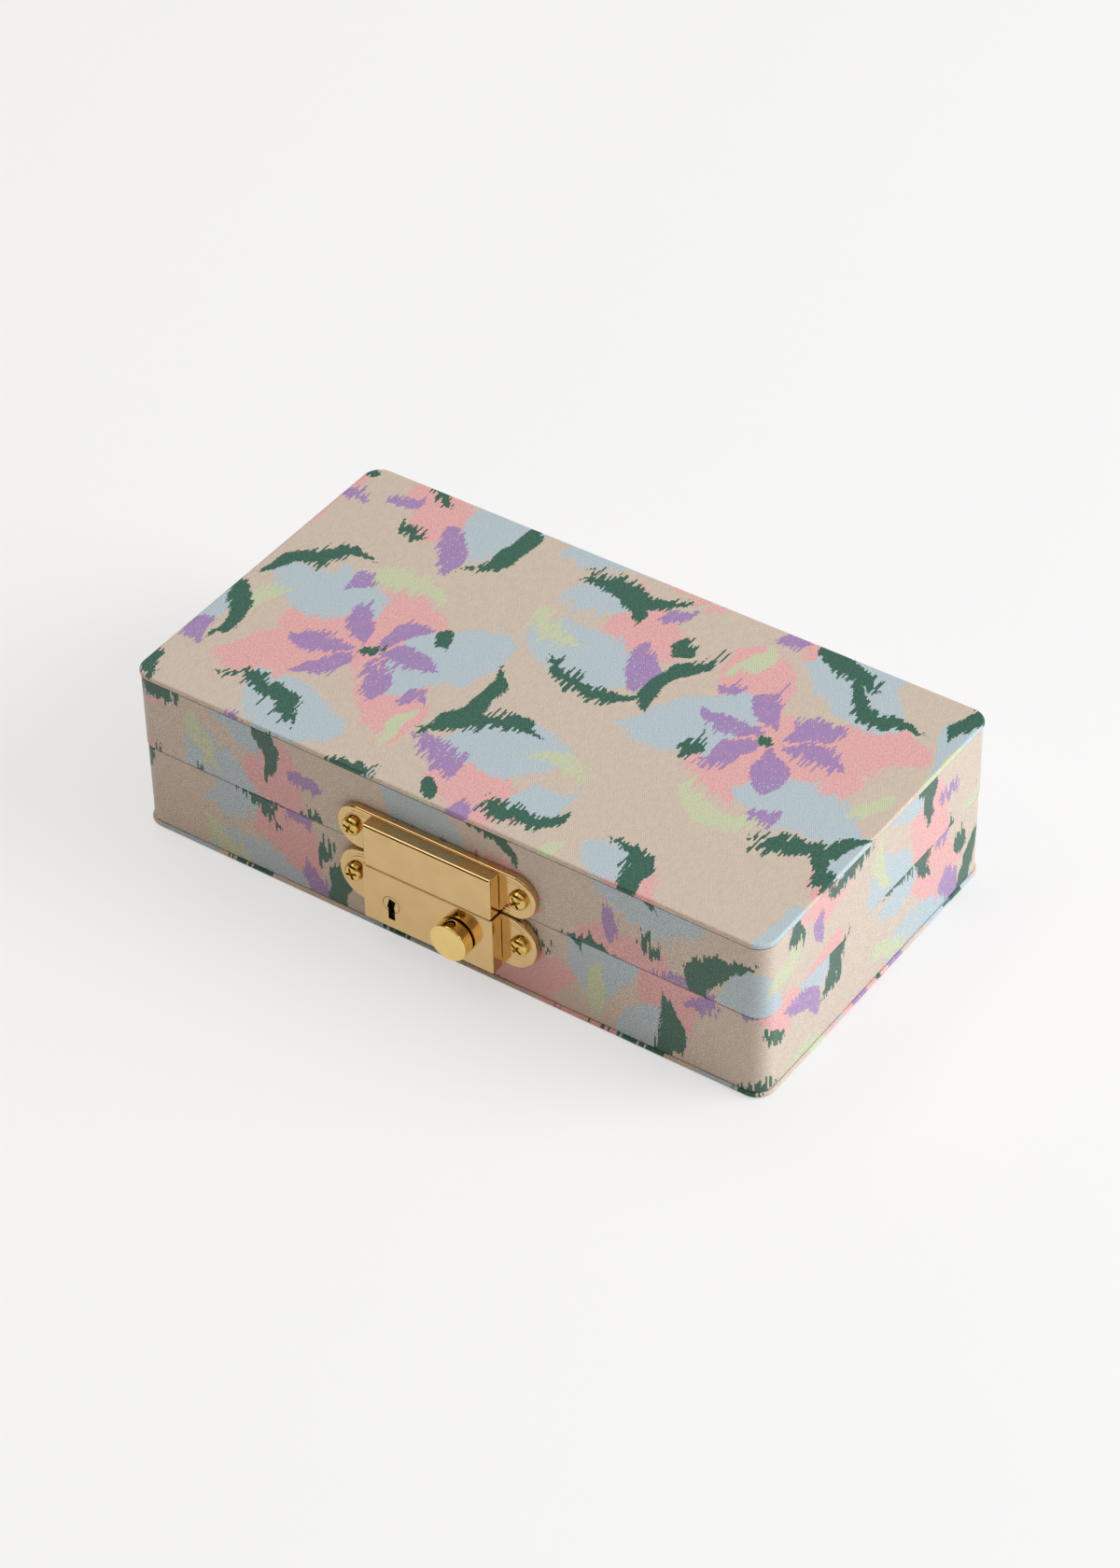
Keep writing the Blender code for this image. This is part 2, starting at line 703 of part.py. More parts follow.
def add_heels(leaf, middle_x):
    """Two bracket heels on the base leaf, on which the lid leaf comes to rest."""
    root = leaf_thickness / 2 - knuckle_radius
    outline = [(root, -heel_root_high), (heel_start, -knuckle_radius), (heel_start, heel_top(heel_start)),
               (heel_end, heel_top(heel_end)), (heel_end, -heel_nose_drop), (root, -heel_root_low)]
    outline = [hinge_point(y, z) for y, z in outline]
    outer = hinge_half_length - seat_gap
    for side in (-1, 1):
        ends = sorted((middle_x + side * outer, middle_x + side * (outer - heel_width)))
        combine(leaf, x_prism(outline, *ends), 'UNION')


def hinge_screw_places(middle_x, upward):
    """The two screw centres of one leaf."""
    height = seam_height + (hinge_screw_drop if upward else -hinge_screw_drop)
    return [(middle_x + side * hinge_screw_reach, height) for side in (-1, 1)]


def make_hinge_pin(name, middle_x, steel):
    """Hinge pin with a formed head at each end."""
    inner = hinge_half_length + seat_gap
    outer = inner + pin_head_length
    profile = [(pin_head_radius, -outer), (pin_head_radius, -inner), (pin_radius, -inner),
               (pin_radius, inner), (pin_head_radius, inner), (pin_head_radius, outer)]
    data = turned(profile, (middle_x, hinge_y, seam_height), (1, 0, 0), screw_steps)
    return finish(name, data, steel)


def make_hinge_screws(prefix, middle_x, upward, brass, pivot=None):
    """The two small screws of one leaf."""
    seat = leaf_thickness + seat_gap
    head = seat + hinge_screw_head_height
    profile = [(hinge_screw_shank_radius, -hinge_screw_shank_length), (hinge_screw_shank_radius, seat),
               (hinge_screw_head_radius, seat), (hinge_screw_head_radius, seat + hinge_screw_head_height / 2),
               (hinge_screw_shank_radius, head)]
    for number, (x, z) in enumerate(hinge_screw_places(middle_x, upward)):
        data = turned(profile, (x, half_depth + seat_gap, z), (0, 1, 0), screw_steps)
        finish(f"{prefix}_screw_{number + 1}", data, brass, pivot)


def bore_back(parts, upward):
    """Pilot holes for the hinge screws through the fabric and into the back wall."""
    radius = hinge_screw_shank_radius + screw_clearance
    depth = hinge_screw_shank_length + screw_clearance
    for part in parts:
        for side in (-1, 1):
            for x, z in hinge_screw_places(side * hinge_offset, upward):
                profile = [(radius, -depth), (radius, cut_overrun)]
                combine(part, turned(profile, (x, half_depth, z), (0, 1, 0), screw_steps))


# The finishes
fabric = make_material("fabric", (0.60, 0.49, 0.40), 0.62)
greyboard = make_material("greyboard", (0.38, 0.33, 0.28), 0.85)
velvet = make_material("velvet", (0.62, 0.47, 0.43), 0.90)
polished_gold = make_material("polished_gold", (0.86, 0.62, 0.30), 0.16, 1.0)
steel = make_material("steel", (0.55, 0.55, 0.54), 0.32, 1.0)
brass = make_material("brass", (0.80, 0.60, 0.28), 0.25, 1.0)

# The base
make_board_cover("base_board_cover", True, fabric)
make_board("base_board", True, greyboard)
base_walls = make_walls("base", base_wall_bottom, base_rim - skin, lid_step, greyboard)
base_cover = make_wrap("base_cover", lid_step, base_wall_bottom, base_rim, fabric)
make_lining("base_lining", lining_inset + lid_step, base_wall_bottom, base_rim - lining_drop, velvet)
make_tray(velvet, velvet)
lower_plate_bottom = -lower_plate_top - lower_plate_height
lower_screw_height = -lower_screw_drop
make_plate("lower_plate", lower_plate_bottom, lower_plate_height, lower_screw_height, polished_gold)
make_plate_screws("lower_plate", lower_screw_height, polished_gold)
bore_front([base_cover, base_walls["front"]], lower_screw_height)
make_case(polished_gold, steel)
make_bolt(polished_gold, steel)
make_plug(polished_gold)
for side_name, side in (("left", -1), ("right", 1)):
    base_leaf = make_leaf(f"{side_name}_hinge_base_leaf", side * hinge_offset, False, brass)
    add_heels(base_leaf, side * hinge_offset)
    make_hinge_pin(f"{side_name}_hinge_pin", side * hinge_offset, steel)
    make_hinge_screws(f"{side_name}_hinge_base", side * hinge_offset, False, brass)
bore_back([base_cover, base_walls["back"]], False)

# The lid, on the hinge axis
lid_pivot = make_pivot("lid_axis", (0, hinge_y, seam_height))
make_board_cover("lid_board_cover", False, fabric, lid_pivot)
make_board("lid_board", False, greyboard, lid_pivot)
lid_walls = make_walls("lid", lid_rim + skin, lid_wall_top, 0, greyboard, lid_pivot)
lid_cover = make_wrap("lid_cover", 0, lid_wall_top, lid_rim, fabric, lid_pivot)
make_lining("lid_lining", lining_inset, lid_rim + lining_drop, lid_wall_top, velvet, lid_pivot)
make_lid_pad(velvet, lid_pivot)
make_plate("upper_plate", upper_plate_bottom, upper_plate_height, upper_screw_height, polished_gold,
           lid_pivot)
make_plate_screws("upper_plate", upper_screw_height, polished_gold, lid_pivot)
bore_front([lid_cover, lid_walls["front"]], upper_screw_height)
make_block(polished_gold, steel, lid_pivot)
for side_name, side in (("left", -1), ("right", 1)):
    make_leaf(f"{side_name}_hinge_lid_leaf", side * hinge_offset, True, brass, lid_pivot)
    make_hinge_screws(f"{side_name}_hinge_lid", side * hinge_offset, True, brass, lid_pivot)
bore_back([lid_cover, lid_walls["back"]], True)
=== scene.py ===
"""Fabric-covered jewelry box: the finish of each piece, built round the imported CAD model."""
import json
import math

import bmesh
import bpy
from mathutils import Matrix, Vector


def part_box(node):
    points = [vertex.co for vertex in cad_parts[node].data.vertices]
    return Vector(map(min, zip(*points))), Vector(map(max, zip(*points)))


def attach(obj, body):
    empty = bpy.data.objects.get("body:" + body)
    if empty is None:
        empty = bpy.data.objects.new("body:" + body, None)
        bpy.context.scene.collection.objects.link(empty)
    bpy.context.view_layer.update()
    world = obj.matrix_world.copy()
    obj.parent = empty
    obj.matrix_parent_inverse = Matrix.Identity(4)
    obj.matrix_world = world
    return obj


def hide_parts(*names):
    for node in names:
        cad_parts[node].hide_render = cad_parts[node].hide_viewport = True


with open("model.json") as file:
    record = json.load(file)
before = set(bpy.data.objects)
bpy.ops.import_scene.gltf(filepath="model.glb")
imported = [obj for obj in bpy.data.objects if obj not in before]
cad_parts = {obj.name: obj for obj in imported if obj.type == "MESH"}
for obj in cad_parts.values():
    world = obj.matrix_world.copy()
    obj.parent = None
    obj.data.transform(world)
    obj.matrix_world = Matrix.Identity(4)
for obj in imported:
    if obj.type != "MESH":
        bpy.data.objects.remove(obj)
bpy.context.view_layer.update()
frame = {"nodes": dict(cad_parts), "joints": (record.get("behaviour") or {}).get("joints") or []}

# The table, the light and the camera. A pale seamless table top stands in a pale room that is
# bright overhead and dim in front of the box, where a low white wall stands, with one large soft
# lamp behind it on its right and a strip of skylight overhead.


def add(tree, kind, inputs=None, **settings):
    """Add one shader node with its settings and inputs, and give back its first output."""
    made = tree.nodes.new("ShaderNode" + kind)
    for setting, value in settings.items():
        setattr(made, setting, value)
    for socket, value in (inputs or {}).items():
        if isinstance(value, bpy.types.NodeSocket):
            tree.links.new(value, made.inputs[socket])
        else:
            made.inputs[socket].default_value = value
    return made.outputs[0]


def sums(tree, operation, *values):
    """One Math node on numbers or on the results of other nodes."""
    return add(tree, "Math", dict(enumerate(values)), operation=operation)


def graded(tree, value, low, high, bottom=0.0, top=1.0):
    """A soft ramp from bottom to top while a value goes from low to high."""
    ends = {0: value, 1: low, 2: high, 3: bottom, 4: top}
    return add(tree, "MapRange", ends, interpolation_type='SMOOTHSTEP')


table_size = 120.0
table_gap = 0.0002
table_glow = (0.925, 0.925, 0.922, 1.0)
glow_share = 0.62
bpy.ops.object.select_all(action='DESELECT')
bpy.ops.mesh.primitive_plane_add(size=table_size, location=(0, 0, -table_gap))
table_top = bpy.context.object
table_top.name = "table_top"
bpy.ops.object.transform_apply()
table_paper = bpy.data.materials.new("table_paper")
table_paper.use_nodes = True
tree = table_paper.node_tree
paper = tree.nodes["Principled BSDF"]
paper.inputs["Roughness"].default_value = 0.9
paper.inputs["Specular IOR Level"].default_value = 0.1
grain = add(tree, "TexNoise", {"Vector": add(tree, "TexCoord").node.outputs["Object"], "Scale": 40.0})
tone = add(tree, "MapRange", {0: grain, 3: 0.885, 4: 0.895})
tree.links.new(add(tree, "CombineColor", {0: tone, 1: tone, 2: tone}), paper.inputs["Base Color"])
glow = add(tree, "Emission", {"Color": table_glow, "Strength": 1.0})
rays = add(tree, "LightPath").node
seen = sums(tree, 'MAXIMUM', rays.outputs["Is Camera Ray"], rays.outputs["Is Glossy Ray"])
seen = sums(tree, 'MAXIMUM', seen, rays.outputs["Is Transmission Ray"])
share = sums(tree, 'MULTIPLY', seen, glow_share)
both = add(tree, "MixShader", {0: share, 1: paper.outputs[0], 2: glow})
tree.links.new(both, tree.nodes["Material Output"].inputs["Surface"])
table_top.data.materials.append(table_paper)

room = bpy.data.worlds.new("room")
bpy.context.scene.world = room
room.use_nodes = True
tree = room.node_tree
facing = add(tree, "SeparateXYZ", {0: add(tree, "TexCoord").node.outputs["Generated"]}).node
to_right, to_back, upward = facing.outputs
room_level = 0.285
skylight_to_left = 0.44
warm_front = (1.0, 0.84, 0.70, 1.0)
cool_back = (1.0, 0.995, 1.0, 1.0)
overhead = graded(tree, upward, 0.66, 0.90, 0.0, 0.64)
rightward = graded(tree, to_right, -0.4, 0.9, 0.0, 0.30)
frontward = graded(tree, to_back, -0.9, 0.3, -0.29, 0.0)
level = sums(tree, 'ADD', sums(tree, 'ADD', overhead, rightward),
             sums(tree, 'ADD', frontward, room_level))
rising = graded(tree, upward, 0.0, 0.08, 0.0, 0.7)
falling = graded(tree, upward, 0.16, 0.26, 1.0, 0.0)
in_front = graded(tree, to_back, -0.5, 0.0, 1.0, 0.0)
card_wall = sums(tree, 'MULTIPLY', rising, sums(tree, 'MULTIPLY', falling, in_front))
level = sums(tree, 'ADD', level, card_wall)
sideways = sums(tree, 'ABSOLUTE', sums(tree, 'ADD', to_right, skylight_to_left))
skylight = sums(tree, 'MULTIPLY', graded(tree, sideways, 0.10, 0.18, 1.3, 0.0),
                graded(tree, upward, 0.68, 0.76, 0.0, 1.0))
level = sums(tree, 'ADD', level, skylight)
tree.links.new(level, tree.nodes["Background"].inputs["Strength"])
warmth = graded(tree, to_back, -0.8, 0.4, 0.0, 1.0)
shade = add(tree, "Mix", {0: warmth, 6: warm_front, 7: cool_back}, data_type='RGBA')
tree.links.new(shade.node.outputs[2], tree.nodes["Background"].inputs["Color"])

lamp_distance = 2.2
lamp_from = Vector((0.78, 0.38, 0.47)).normalized()
bpy.ops.object.light_add(type='AREA', location=lamp_from * lamp_distance)
soft_lamp = bpy.context.object
soft_lamp.name = "soft_lamp"
soft_lamp.rotation_euler = lamp_from.to_track_quat('Z', 'Y').to_euler()
soft_lamp.data.shape = 'SQUARE'
soft_lamp.data.size = 1.5
soft_lamp.data.energy = 44.0
soft_lamp.data.color = (0.92, 0.96, 1.0)

camera_turn = math.radians(35.24)
camera_rise = math.radians(40.444)
camera_roll = math.radians(-1.118)
camera_place = Vector((0.600754, -0.850418, 0.910580))
backward = Vector((math.sin(camera_turn) * math.cos(camera_rise),
                   -math.cos(camera_turn) * math.cos(camera_rise), math.sin(camera_rise)))
right = (-backward).cross(Vector((0, 0, 1))).normalized()
up = right.cross(-backward)
rolled_right = math.cos(camera_roll) * right + math.sin(camera_roll) * up
rolled_up = math.cos(camera_roll) * up - math.sin(camera_roll) * right
bpy.ops.object.camera_add()
camera = bpy.context.object
camera.name = "camera"
camera.data.lens = 106.277
camera.data.sensor_width = 36.0
camera.data.clip_start = 0.05
axes = Matrix((rolled_right, rolled_up, backward)).transposed()
camera.matrix_world = Matrix.Translation(camera_place) @ axes.to_4x4()
bpy.context.scene.camera = camera
bpy.context.scene.view_settings.view_transform = 'Standard'

# The cloth on the bottom board. A silky jacquard with a fine twill rib is glued over a thin board,
# round its soft edge, and turned in underneath. The pattern is woven in, so its colours meet in
# ragged teeth that run along the warp.
corner_radius = 0.0057
board_overhang = 0.00045
board_edge_radius = 0.0009
board_hem_radius = 0.00075
cloth_thickness = 0.0006
board_and_gap = 0.0011
hollow_inset = 0.00005
touching = 0.000001


def vectors(tree, operation, *values):
    """One Vector Math node, with its number output where it has one."""
    made = add(tree, "VectorMath", dict(enumerate(values)), operation=operation).node
    return made.outputs[1 if operation in ('DISTANCE', 'LENGTH', 'DOT_PRODUCT') else 0]


def blend(tree, factor, first, second, kind='RGBA'):
    """Mix two colours, or two places, by a factor."""
    a, b, out = {'RGBA': (6, 7, 2), 'VECTOR': (4, 5, 1)}[kind]
    return add(tree, "Mix", {0: factor, a: first, b: second}, data_type=kind).node.outputs[out]


def noise(tree, place, scale, detail=2.0):
    """Soft noise about one half, with its own scale along each direction."""
    spread = vectors(tree, 'MULTIPLY', place, scale)
    return add(tree, "TexNoise", {"Vector": spread, "Scale": 1.0, "Detail": detail})


def object_place(tree):
    """Where a point is on the finished box, in metres."""
    return add(tree, "TexCoord").node.outputs["Object"]


def dye(red, green, blue):
    """A colour written on a scale of 0 to 255."""
    return (*[((c / 255 + 0.055) / 1.055) ** 2.4 for c in (red, green, blue)], 1.0)


def new_finish(name, roughness, metallic=0.0):
    """A metal or plain material with its node tree and its shader."""
    material = bpy.data.materials.new(name)
    material.use_nodes = True
    shader = material.node_tree.nodes["Principled BSDF"]
    shader.inputs["Roughness"].default_value = roughness
    shader.inputs["Metallic"].default_value = metallic
    return material, material.node_tree, shader


def dab_sides(x, y, length, width, bend, turn):
    """The two round sides of a brush dab, as centre, radius and whether the dab is inside it."""
    sides = []
    for rise, upper in ((bend + width / 2, True), (bend - width / 2, False)):
        radius = (length * length / 4 + rise * rise) / (2 * abs(rise))
        drop = rise - math.copysign(radius, rise)
        angle = math.radians(turn)
        centre = (x - drop * math.sin(angle), y + drop * math.cos(angle), 0)
        sides.append((centre, radius, (rise > 0) == upper))
    return sides


def dabs_depth(tree, place, dabs, depth=None):
    """How deep a point lies inside the nearest of several dabs, in millimetres."""
    for dab in dabs:
        within = []
        for centre, radius, inside in dab_sides(*dab):
            away = vectors(tree, 'DISTANCE', place, centre)
            within.append(sums(tree, 'SUBTRACT', *((radius, away) if inside else (away, radius))))
        shallow = sums(tree, 'MINIMUM', *within)
        depth = shallow if depth is None else sums(tree, 'MAXIMUM', depth, shallow)
    return depth


def nearest_motif(tree, place, spots):
    """The place of a point on the motif that is nearest to it in the repeat."""
    half_repeat = tuple(side / 2 for side in cloth_repeat)
    for number, (x, y, turn, flip) in enumerate(spots):
        step = vectors(tree, 'SUBTRACT', place, (x, y, 0))
        step = vectors(tree, 'WRAP', step, half_repeat, tuple(-side for side in half_repeat))
        away = vectors(tree, 'LENGTH', step)
        placing = {"Vector": step, "Rotation": (0, 0, math.radians(turn)), "Scale": (flip, 1, 1)}
        step = add(tree, "Mapping", placing)
        if number:
            closer = sums(tree, 'LESS_THAN', away, nearest)
            local = blend(tree, closer, local, step, 'VECTOR')
            nearest = sums(tree, 'MINIMUM', nearest, away)
        else:
            nearest, local = away, step
    return local


# Each dab is its middle, length, width, bend and turn, and each spot is where a motif's middle
# falls in the repeat, how far it is turned and whether it is flipped; millimetres and degrees,
# before the growth.
millimetres = (1000, 1000, 0)
cloth_repeat = (196.0, 152.0, 0.0)
motif_growth = 1.3
thread_step = (0.62, 0.02, 1.0)
drift_reach = 10
short_teeth, long_teeth = 7.0, 20.0
fray_reach = 1.6
purple_cover = 0.63
blossom_spots = [(30, 34, 10, 1), (128, 58, 200, 1), (70, 118, 100, -1), (170, 130, 300, 1)]
sprig_spots = [(80, 14, 40, 1), (176, 82, 130, -1), (78, 70, 250, 1), (22, 88, 330, -1),
               (120, 104, 80, 1), (28, 134, 200, 1), (176, 26, 10, -1), (122, 142, 290, 1)]
petals = [(2 + 11 * math.cos(turn), 1 + 10 * math.sin(turn), 15, 6.5, 1.6, math.degrees(turn))
          for turn in (0.3, 1.2, 2.3, 3.5, 4.3, 5.5)]
blossom = {
    "pink": [(0, 2, 46, 30, 5, 15), (-15, -10, 32, 18, -4, 60), (16, -10, 34, 17, 4, -40)],
    "blue": [(21, 10, 34, 19, 4, 70), (-21, 12, 32, 18, -3, 20), (4, -22, 34, 17, 4, 175)],
    "light_green": [(-8, 22, 22, 6.4, 4, 10), (28, -13, 16, 5, 3, 100), (-28, -4, 15, 5, 2, 80)],
    "purple": petals + [(-16, 17, 9, 4, 1.5, 70), (22, -4, 8, 4, 1.5, 20)],
    "dark_green": [(-28, 14, 27, 6, 5, 50), (29, 4, 28, 5.5, -5, 95), (-4, -28, 27, 5.5, 5, 0),
                   (3, 2, 6, 3.6, 1, 30), (13, 17, 8, 4, 1.5, 120)],
}
sprig = {
    "pink": [(7, -6, 28, 16, 3, 30)],
    "blue": [(-5, 6, 32, 18, 3, 60), (15, 8, 20, 11, 2, 100)],
    "light_green": [(2, 15, 18, 5, 3, 40)],
    "purple": [(-9, -10, 18, 7, 3, 20), (12, -10, 9, 4.4, 1.5, 110)],
    "dark_green": [(-13, 2, 27, 5.6, 6, 70), (12, 6, 22, 6, -5, 50), (1, -13, 8, 4.4, 1.5, 160)],
}
yarns = {
    "pink": (dye(226, 173, 170), dye(217, 160, 158)),
    "blue": (dye(172, 190, 199), dye(181, 194, 199)),
    "light_green": (dye(190, 200, 160), dye(198, 202, 171)),
    "purple": (dye(161, 131, 182), dye(150, 118, 172)),
    "dark_green": (dye(38, 99, 78), dye(27, 80, 63)),
}


def woven_cloth(name, rib_direction, rib_pitch, clearness):
    """The jacquard, with its ribs across a direction on the box and its pattern on the cloth."""
    material, tree, shader = new_finish(name, 0.5)
    laid = add(tree, "UVMap", uv_map="cloth")
    flat = vectors(tree, 'MULTIPLY', laid, millimetres)
    drift = noise(tree, flat, (0.07, 0.07, 0), 1.0).node.outputs[1]
    drift = vectors(tree, 'MULTIPLY', vectors(tree, 'SUBTRACT', drift, (0.5, 0.5, 0.5)),
                    (drift_reach, drift_reach, 0))
    column = vectors(tree, 'SNAP', flat, thread_step)
    teeth = sums(tree, 'SUBTRACT', noise(tree, column, (0.9, 0.075, 0), 2.0), 0.5)
    ragged = noise(tree, flat, (0.045, 0.045, 0), 0.0)
    ragged = graded(tree, ragged, 0.38, 0.62, short_teeth, long_teeth)
    teeth = add(tree, "CombineXYZ", {1: sums(tree, 'MULTIPLY', teeth, ragged)})
    place = vectors(tree, 'ADD', vectors(tree, 'ADD', flat, drift), teeth)
    place = vectors(tree, 'DIVIDE', place, (motif_growth, motif_growth, 1))
    yarn = noise(tree, flat, (2.3, 1.1, 0), 1.0)
    fray = sums(tree, 'MULTIPLY', sums(tree, 'SUBTRACT', yarn, 0.5), fray_reach)
    fleck = noise(tree, flat, (1.5, 1.1, 0), 2.0)
    on_blossom = nearest_motif(tree, place, blossom_spots)
    on_sprig = nearest_motif(tree, place, sprig_spots)
    warm = noise(tree, flat, (0.8, 0.35, 0), 2.0)
    colour = blend(tree, graded(tree, warm, 0.35, 0.65), dye(205, 188, 170), dye(198, 183, 168))
    for dyed, tones in yarns.items():
        depth = dabs_depth(tree, on_blossom, blossom[dyed])
        depth = dabs_depth(tree, on_sprig, sprig[dyed], depth)
        shown = sums(tree, 'GREATER_THAN', sums(tree, 'ADD', depth, fray), 0.0)
        if dyed == "purple":
            shown = sums(tree, 'MULTIPLY', shown, sums(tree, 'LESS_THAN', fleck, purple_cover))
        shade = blend(tree, graded(tree, fleck, 0.4, 0.6), *tones)
        colour = blend(tree, shown, colour, shade)
    along = vectors(tree, 'DOT_PRODUCT', object_place(tree), Vector(rib_direction).normalized())
    grain = noise(tree, object_place(tree), (2600, 2600, 2600), 2.0)
    wander = sums(tree, 'MULTIPLY', grain, 7.0 - 5.0 * clearness)
    phase = sums(tree, 'MULTIPLY', along, 2 * math.pi / rib_pitch)
    rib = sums(tree, 'SINE', sums(tree, 'ADD', phase, wander))
    # Painted shade in the rib grooves and a painted highlight on the rib crests, laid over the bump's
    # relief.
    rib_painted_shade = graded(tree, rib, -1.0, 0.6, 0.97 - 0.07 * clearness, 1.03)
    rib_painted_highlight = graded(tree, rib, 0.0, 0.9, 0.0, 0.09 * clearness)
    colour = blend(tree, rib_painted_highlight, colour, dye(238, 233, 228))
    # The tone multiplies the painted rib shade with the yarns' own random tone.
    tone = sums(tree, 'MULTIPLY', rib_painted_shade, graded(tree, grain, 0.3, 0.7, 0.87, 1.11))
    colour = vectors(tree, 'SCALE', colour)
    tree.links.new(tone, colour.node.inputs["Scale"])
    tree.links.new(colour, shader.inputs["Base Color"])
    height = sums(tree, 'ADD', sums(tree, 'MULTIPLY', rib, 0.7 * clearness), grain)
    relief = add(tree, "Bump", {"Strength": 0.55, "Distance": 0.00009, "Height": height})
    tree.links.new(relief, shader.inputs["Normal"])
    shader.inputs["Sheen Weight"].default_value = 0.42
    shader.inputs["Sheen Roughness"].default_value = 0.35
    shader.inputs["Specular IOR Level"].default_value = 0.45
    return material


def start_from(name, low, high):
    """A plain box between two corners, alone selected and open for modelling."""
    bpy.ops.object.select_all(action='DESELECT')
    middle = [(a + b) / 2 for a, b in zip(low, high)]
    bpy.ops.mesh.primitive_cube_add(size=1, location=middle, scale=[b - a for a, b in zip(low, high)])
    bpy.context.object.name = name
    bpy.ops.object.transform_apply()
    bpy.ops.object.mode_set(mode='EDIT')
    return bpy.context.object


def pick(kind, test):
    """In edit mode, select only the faces or the edges that pass a test."""
    bpy.ops.mesh.select_mode(type=kind)
    bpy.ops.mesh.select_all(action='DESELECT')
    mesh = bmesh.from_edit_mesh(bpy.context.object.data)
    for item in {'FACE': mesh.faces, 'EDGE': mesh.edges, 'VERT': mesh.verts}[kind]:
        if test(item):
            item.select_set(True)
    bmesh.update_edit_mesh(bpy.context.object.data)


def upright(edge):
    """Whether an edge runs straight up."""
    first, second = (vert.co for vert in edge.verts)
    return (first - second).xy.length < touching < abs(first.z - second.z)


def facing_way(direction):
    """A test for faces that look straight along a direction."""
    return lambda face: face.normal.dot(Vector(direction)) > 0.999


def round_of(direction, level, axis=2):
    """A test for edges that lie at one level, round the face that looks along a direction."""
    flat = facing_way(direction)
    return lambda edge: (all(abs(vert.co[axis] - level) < touching for vert in edge.verts)
                         and any(flat(face) for face in edge.link_faces)
                         and not all(flat(face) for face in edge.link_faces))


def apply_all(piece):
    """Leave edit mode and apply the piece's modifiers in order."""
    if piece.mode == 'EDIT':
        bpy.ops.object.mode_set(mode='OBJECT')
    bpy.context.view_layer.objects.active = piece
    for modifier in list(piece.modifiers):
        bpy.ops.object.modifier_apply(modifier=modifier.name)


def dress(piece, body, slot, material, *stands_for, smooth=30):
    """Shade a finished piece, give it its material and body, and hide the CAD nodes it stands for."""
    apply_all(piece)
    bpy.ops.object.select_all(action='DESELECT')
    piece.select_set(True)
    bpy.context.view_layer.objects.active = piece
    bpy.ops.object.shade_smooth_by_angle(angle=math.radians(smooth))
    if smooth < 60:
        weighted = piece.modifiers.new("flat_faces_stay_flat", 'WEIGHTED_NORMAL')
        weighted.keep_sharp = True
        apply_all(piece)
    piece.data.materials.clear()
    piece.data.materials.append(material)
    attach(piece, body)
    if stands_for:
        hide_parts(*stands_for)
    return piece


def lay_cloth(piece, unfold):
    """Write where each corner of the mesh falls on the flat cloth, in metres."""
    apply_all(piece)
    mesh = piece.data
    for layer in list(mesh.uv_layers):
        mesh.uv_layers.remove(layer)
    layer = mesh.uv_layers.new(name="cloth")
    for face in mesh.polygons:
        for loop in face.loop_indices:
            place = mesh.vertices[mesh.loops[loop].vertex_index].co
            layer.data[loop].uv = unfold(place, face.center)


def wrapped_board(name, node, up, offset, material, body):
    """A board's cloth: a slab with round corners and one soft edge, hollow where the board lies."""
    low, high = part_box(node)
    piece = start_from(name, low, high)
    outer, inner = (high.z, low.z) if up > 0 else (low.z, high.z)
    pick('EDGE', upright)
    bpy.ops.mesh.bevel(offset=corner_radius + board_overhang, segments=12, affect='EDGES')
    pick('EDGE', round_of((0, 0, up), outer))
    bpy.ops.mesh.bevel(offset=board_edge_radius, segments=5, affect='EDGES')
    pick('EDGE', round_of((0, 0, -up), inner))
    bpy.ops.mesh.bevel(offset=board_hem_radius, segments=4, affect='EDGES')
    pick('FACE', facing_way((0, 0, -up)))
    bpy.ops.mesh.inset(thickness=hollow_inset)
    bpy.ops.mesh.extrude_region_move(TRANSFORM_OT_translate={"value": (0, 0, up * board_and_gap)})
    straight_x, straight_y = high.x - corner_radius, high.y - corner_radius

    def unfold(place, middle):
        """Where a point of the slab falls on the flat cloth, beyond its outline by its drop."""
        past = Vector((max(0, abs(place.x) - straight_x), max(0, abs(place.y) - straight_y)))
        drop = abs(outer - place.z)
        if past.length > touching:
            past = past.normalized() * drop
        return (place.x + math.copysign(past.x, place.x) + offset[0],
                place.y + math.copysign(past.y, place.y) + offset[1])

    lay_cloth(piece, unfold)
    return dress(piece, body, "fabric", material, node)


board_cloth = woven_cloth("board_cloth", rib_direction=(0.839, 0.545, 0), rib_pitch=0.00047,
                          clearness=0.4)
bottom_cloth = wrapped_board("bottom_board_cloth", "base_board_cover", up=-1, offset=(0.31, 0.27),
                             material=board_cloth, body="box_base")

# The strip of cloth round the tray's walls. It is glued to the boards, joined where the back
# meets its left corner, and turned over the rim as far as the lining.
rim_softness = 0.0004
past_the_middle = 0.00001
wall_board = 0.0050
glue_gap = 0.0003
half_length = 0.11


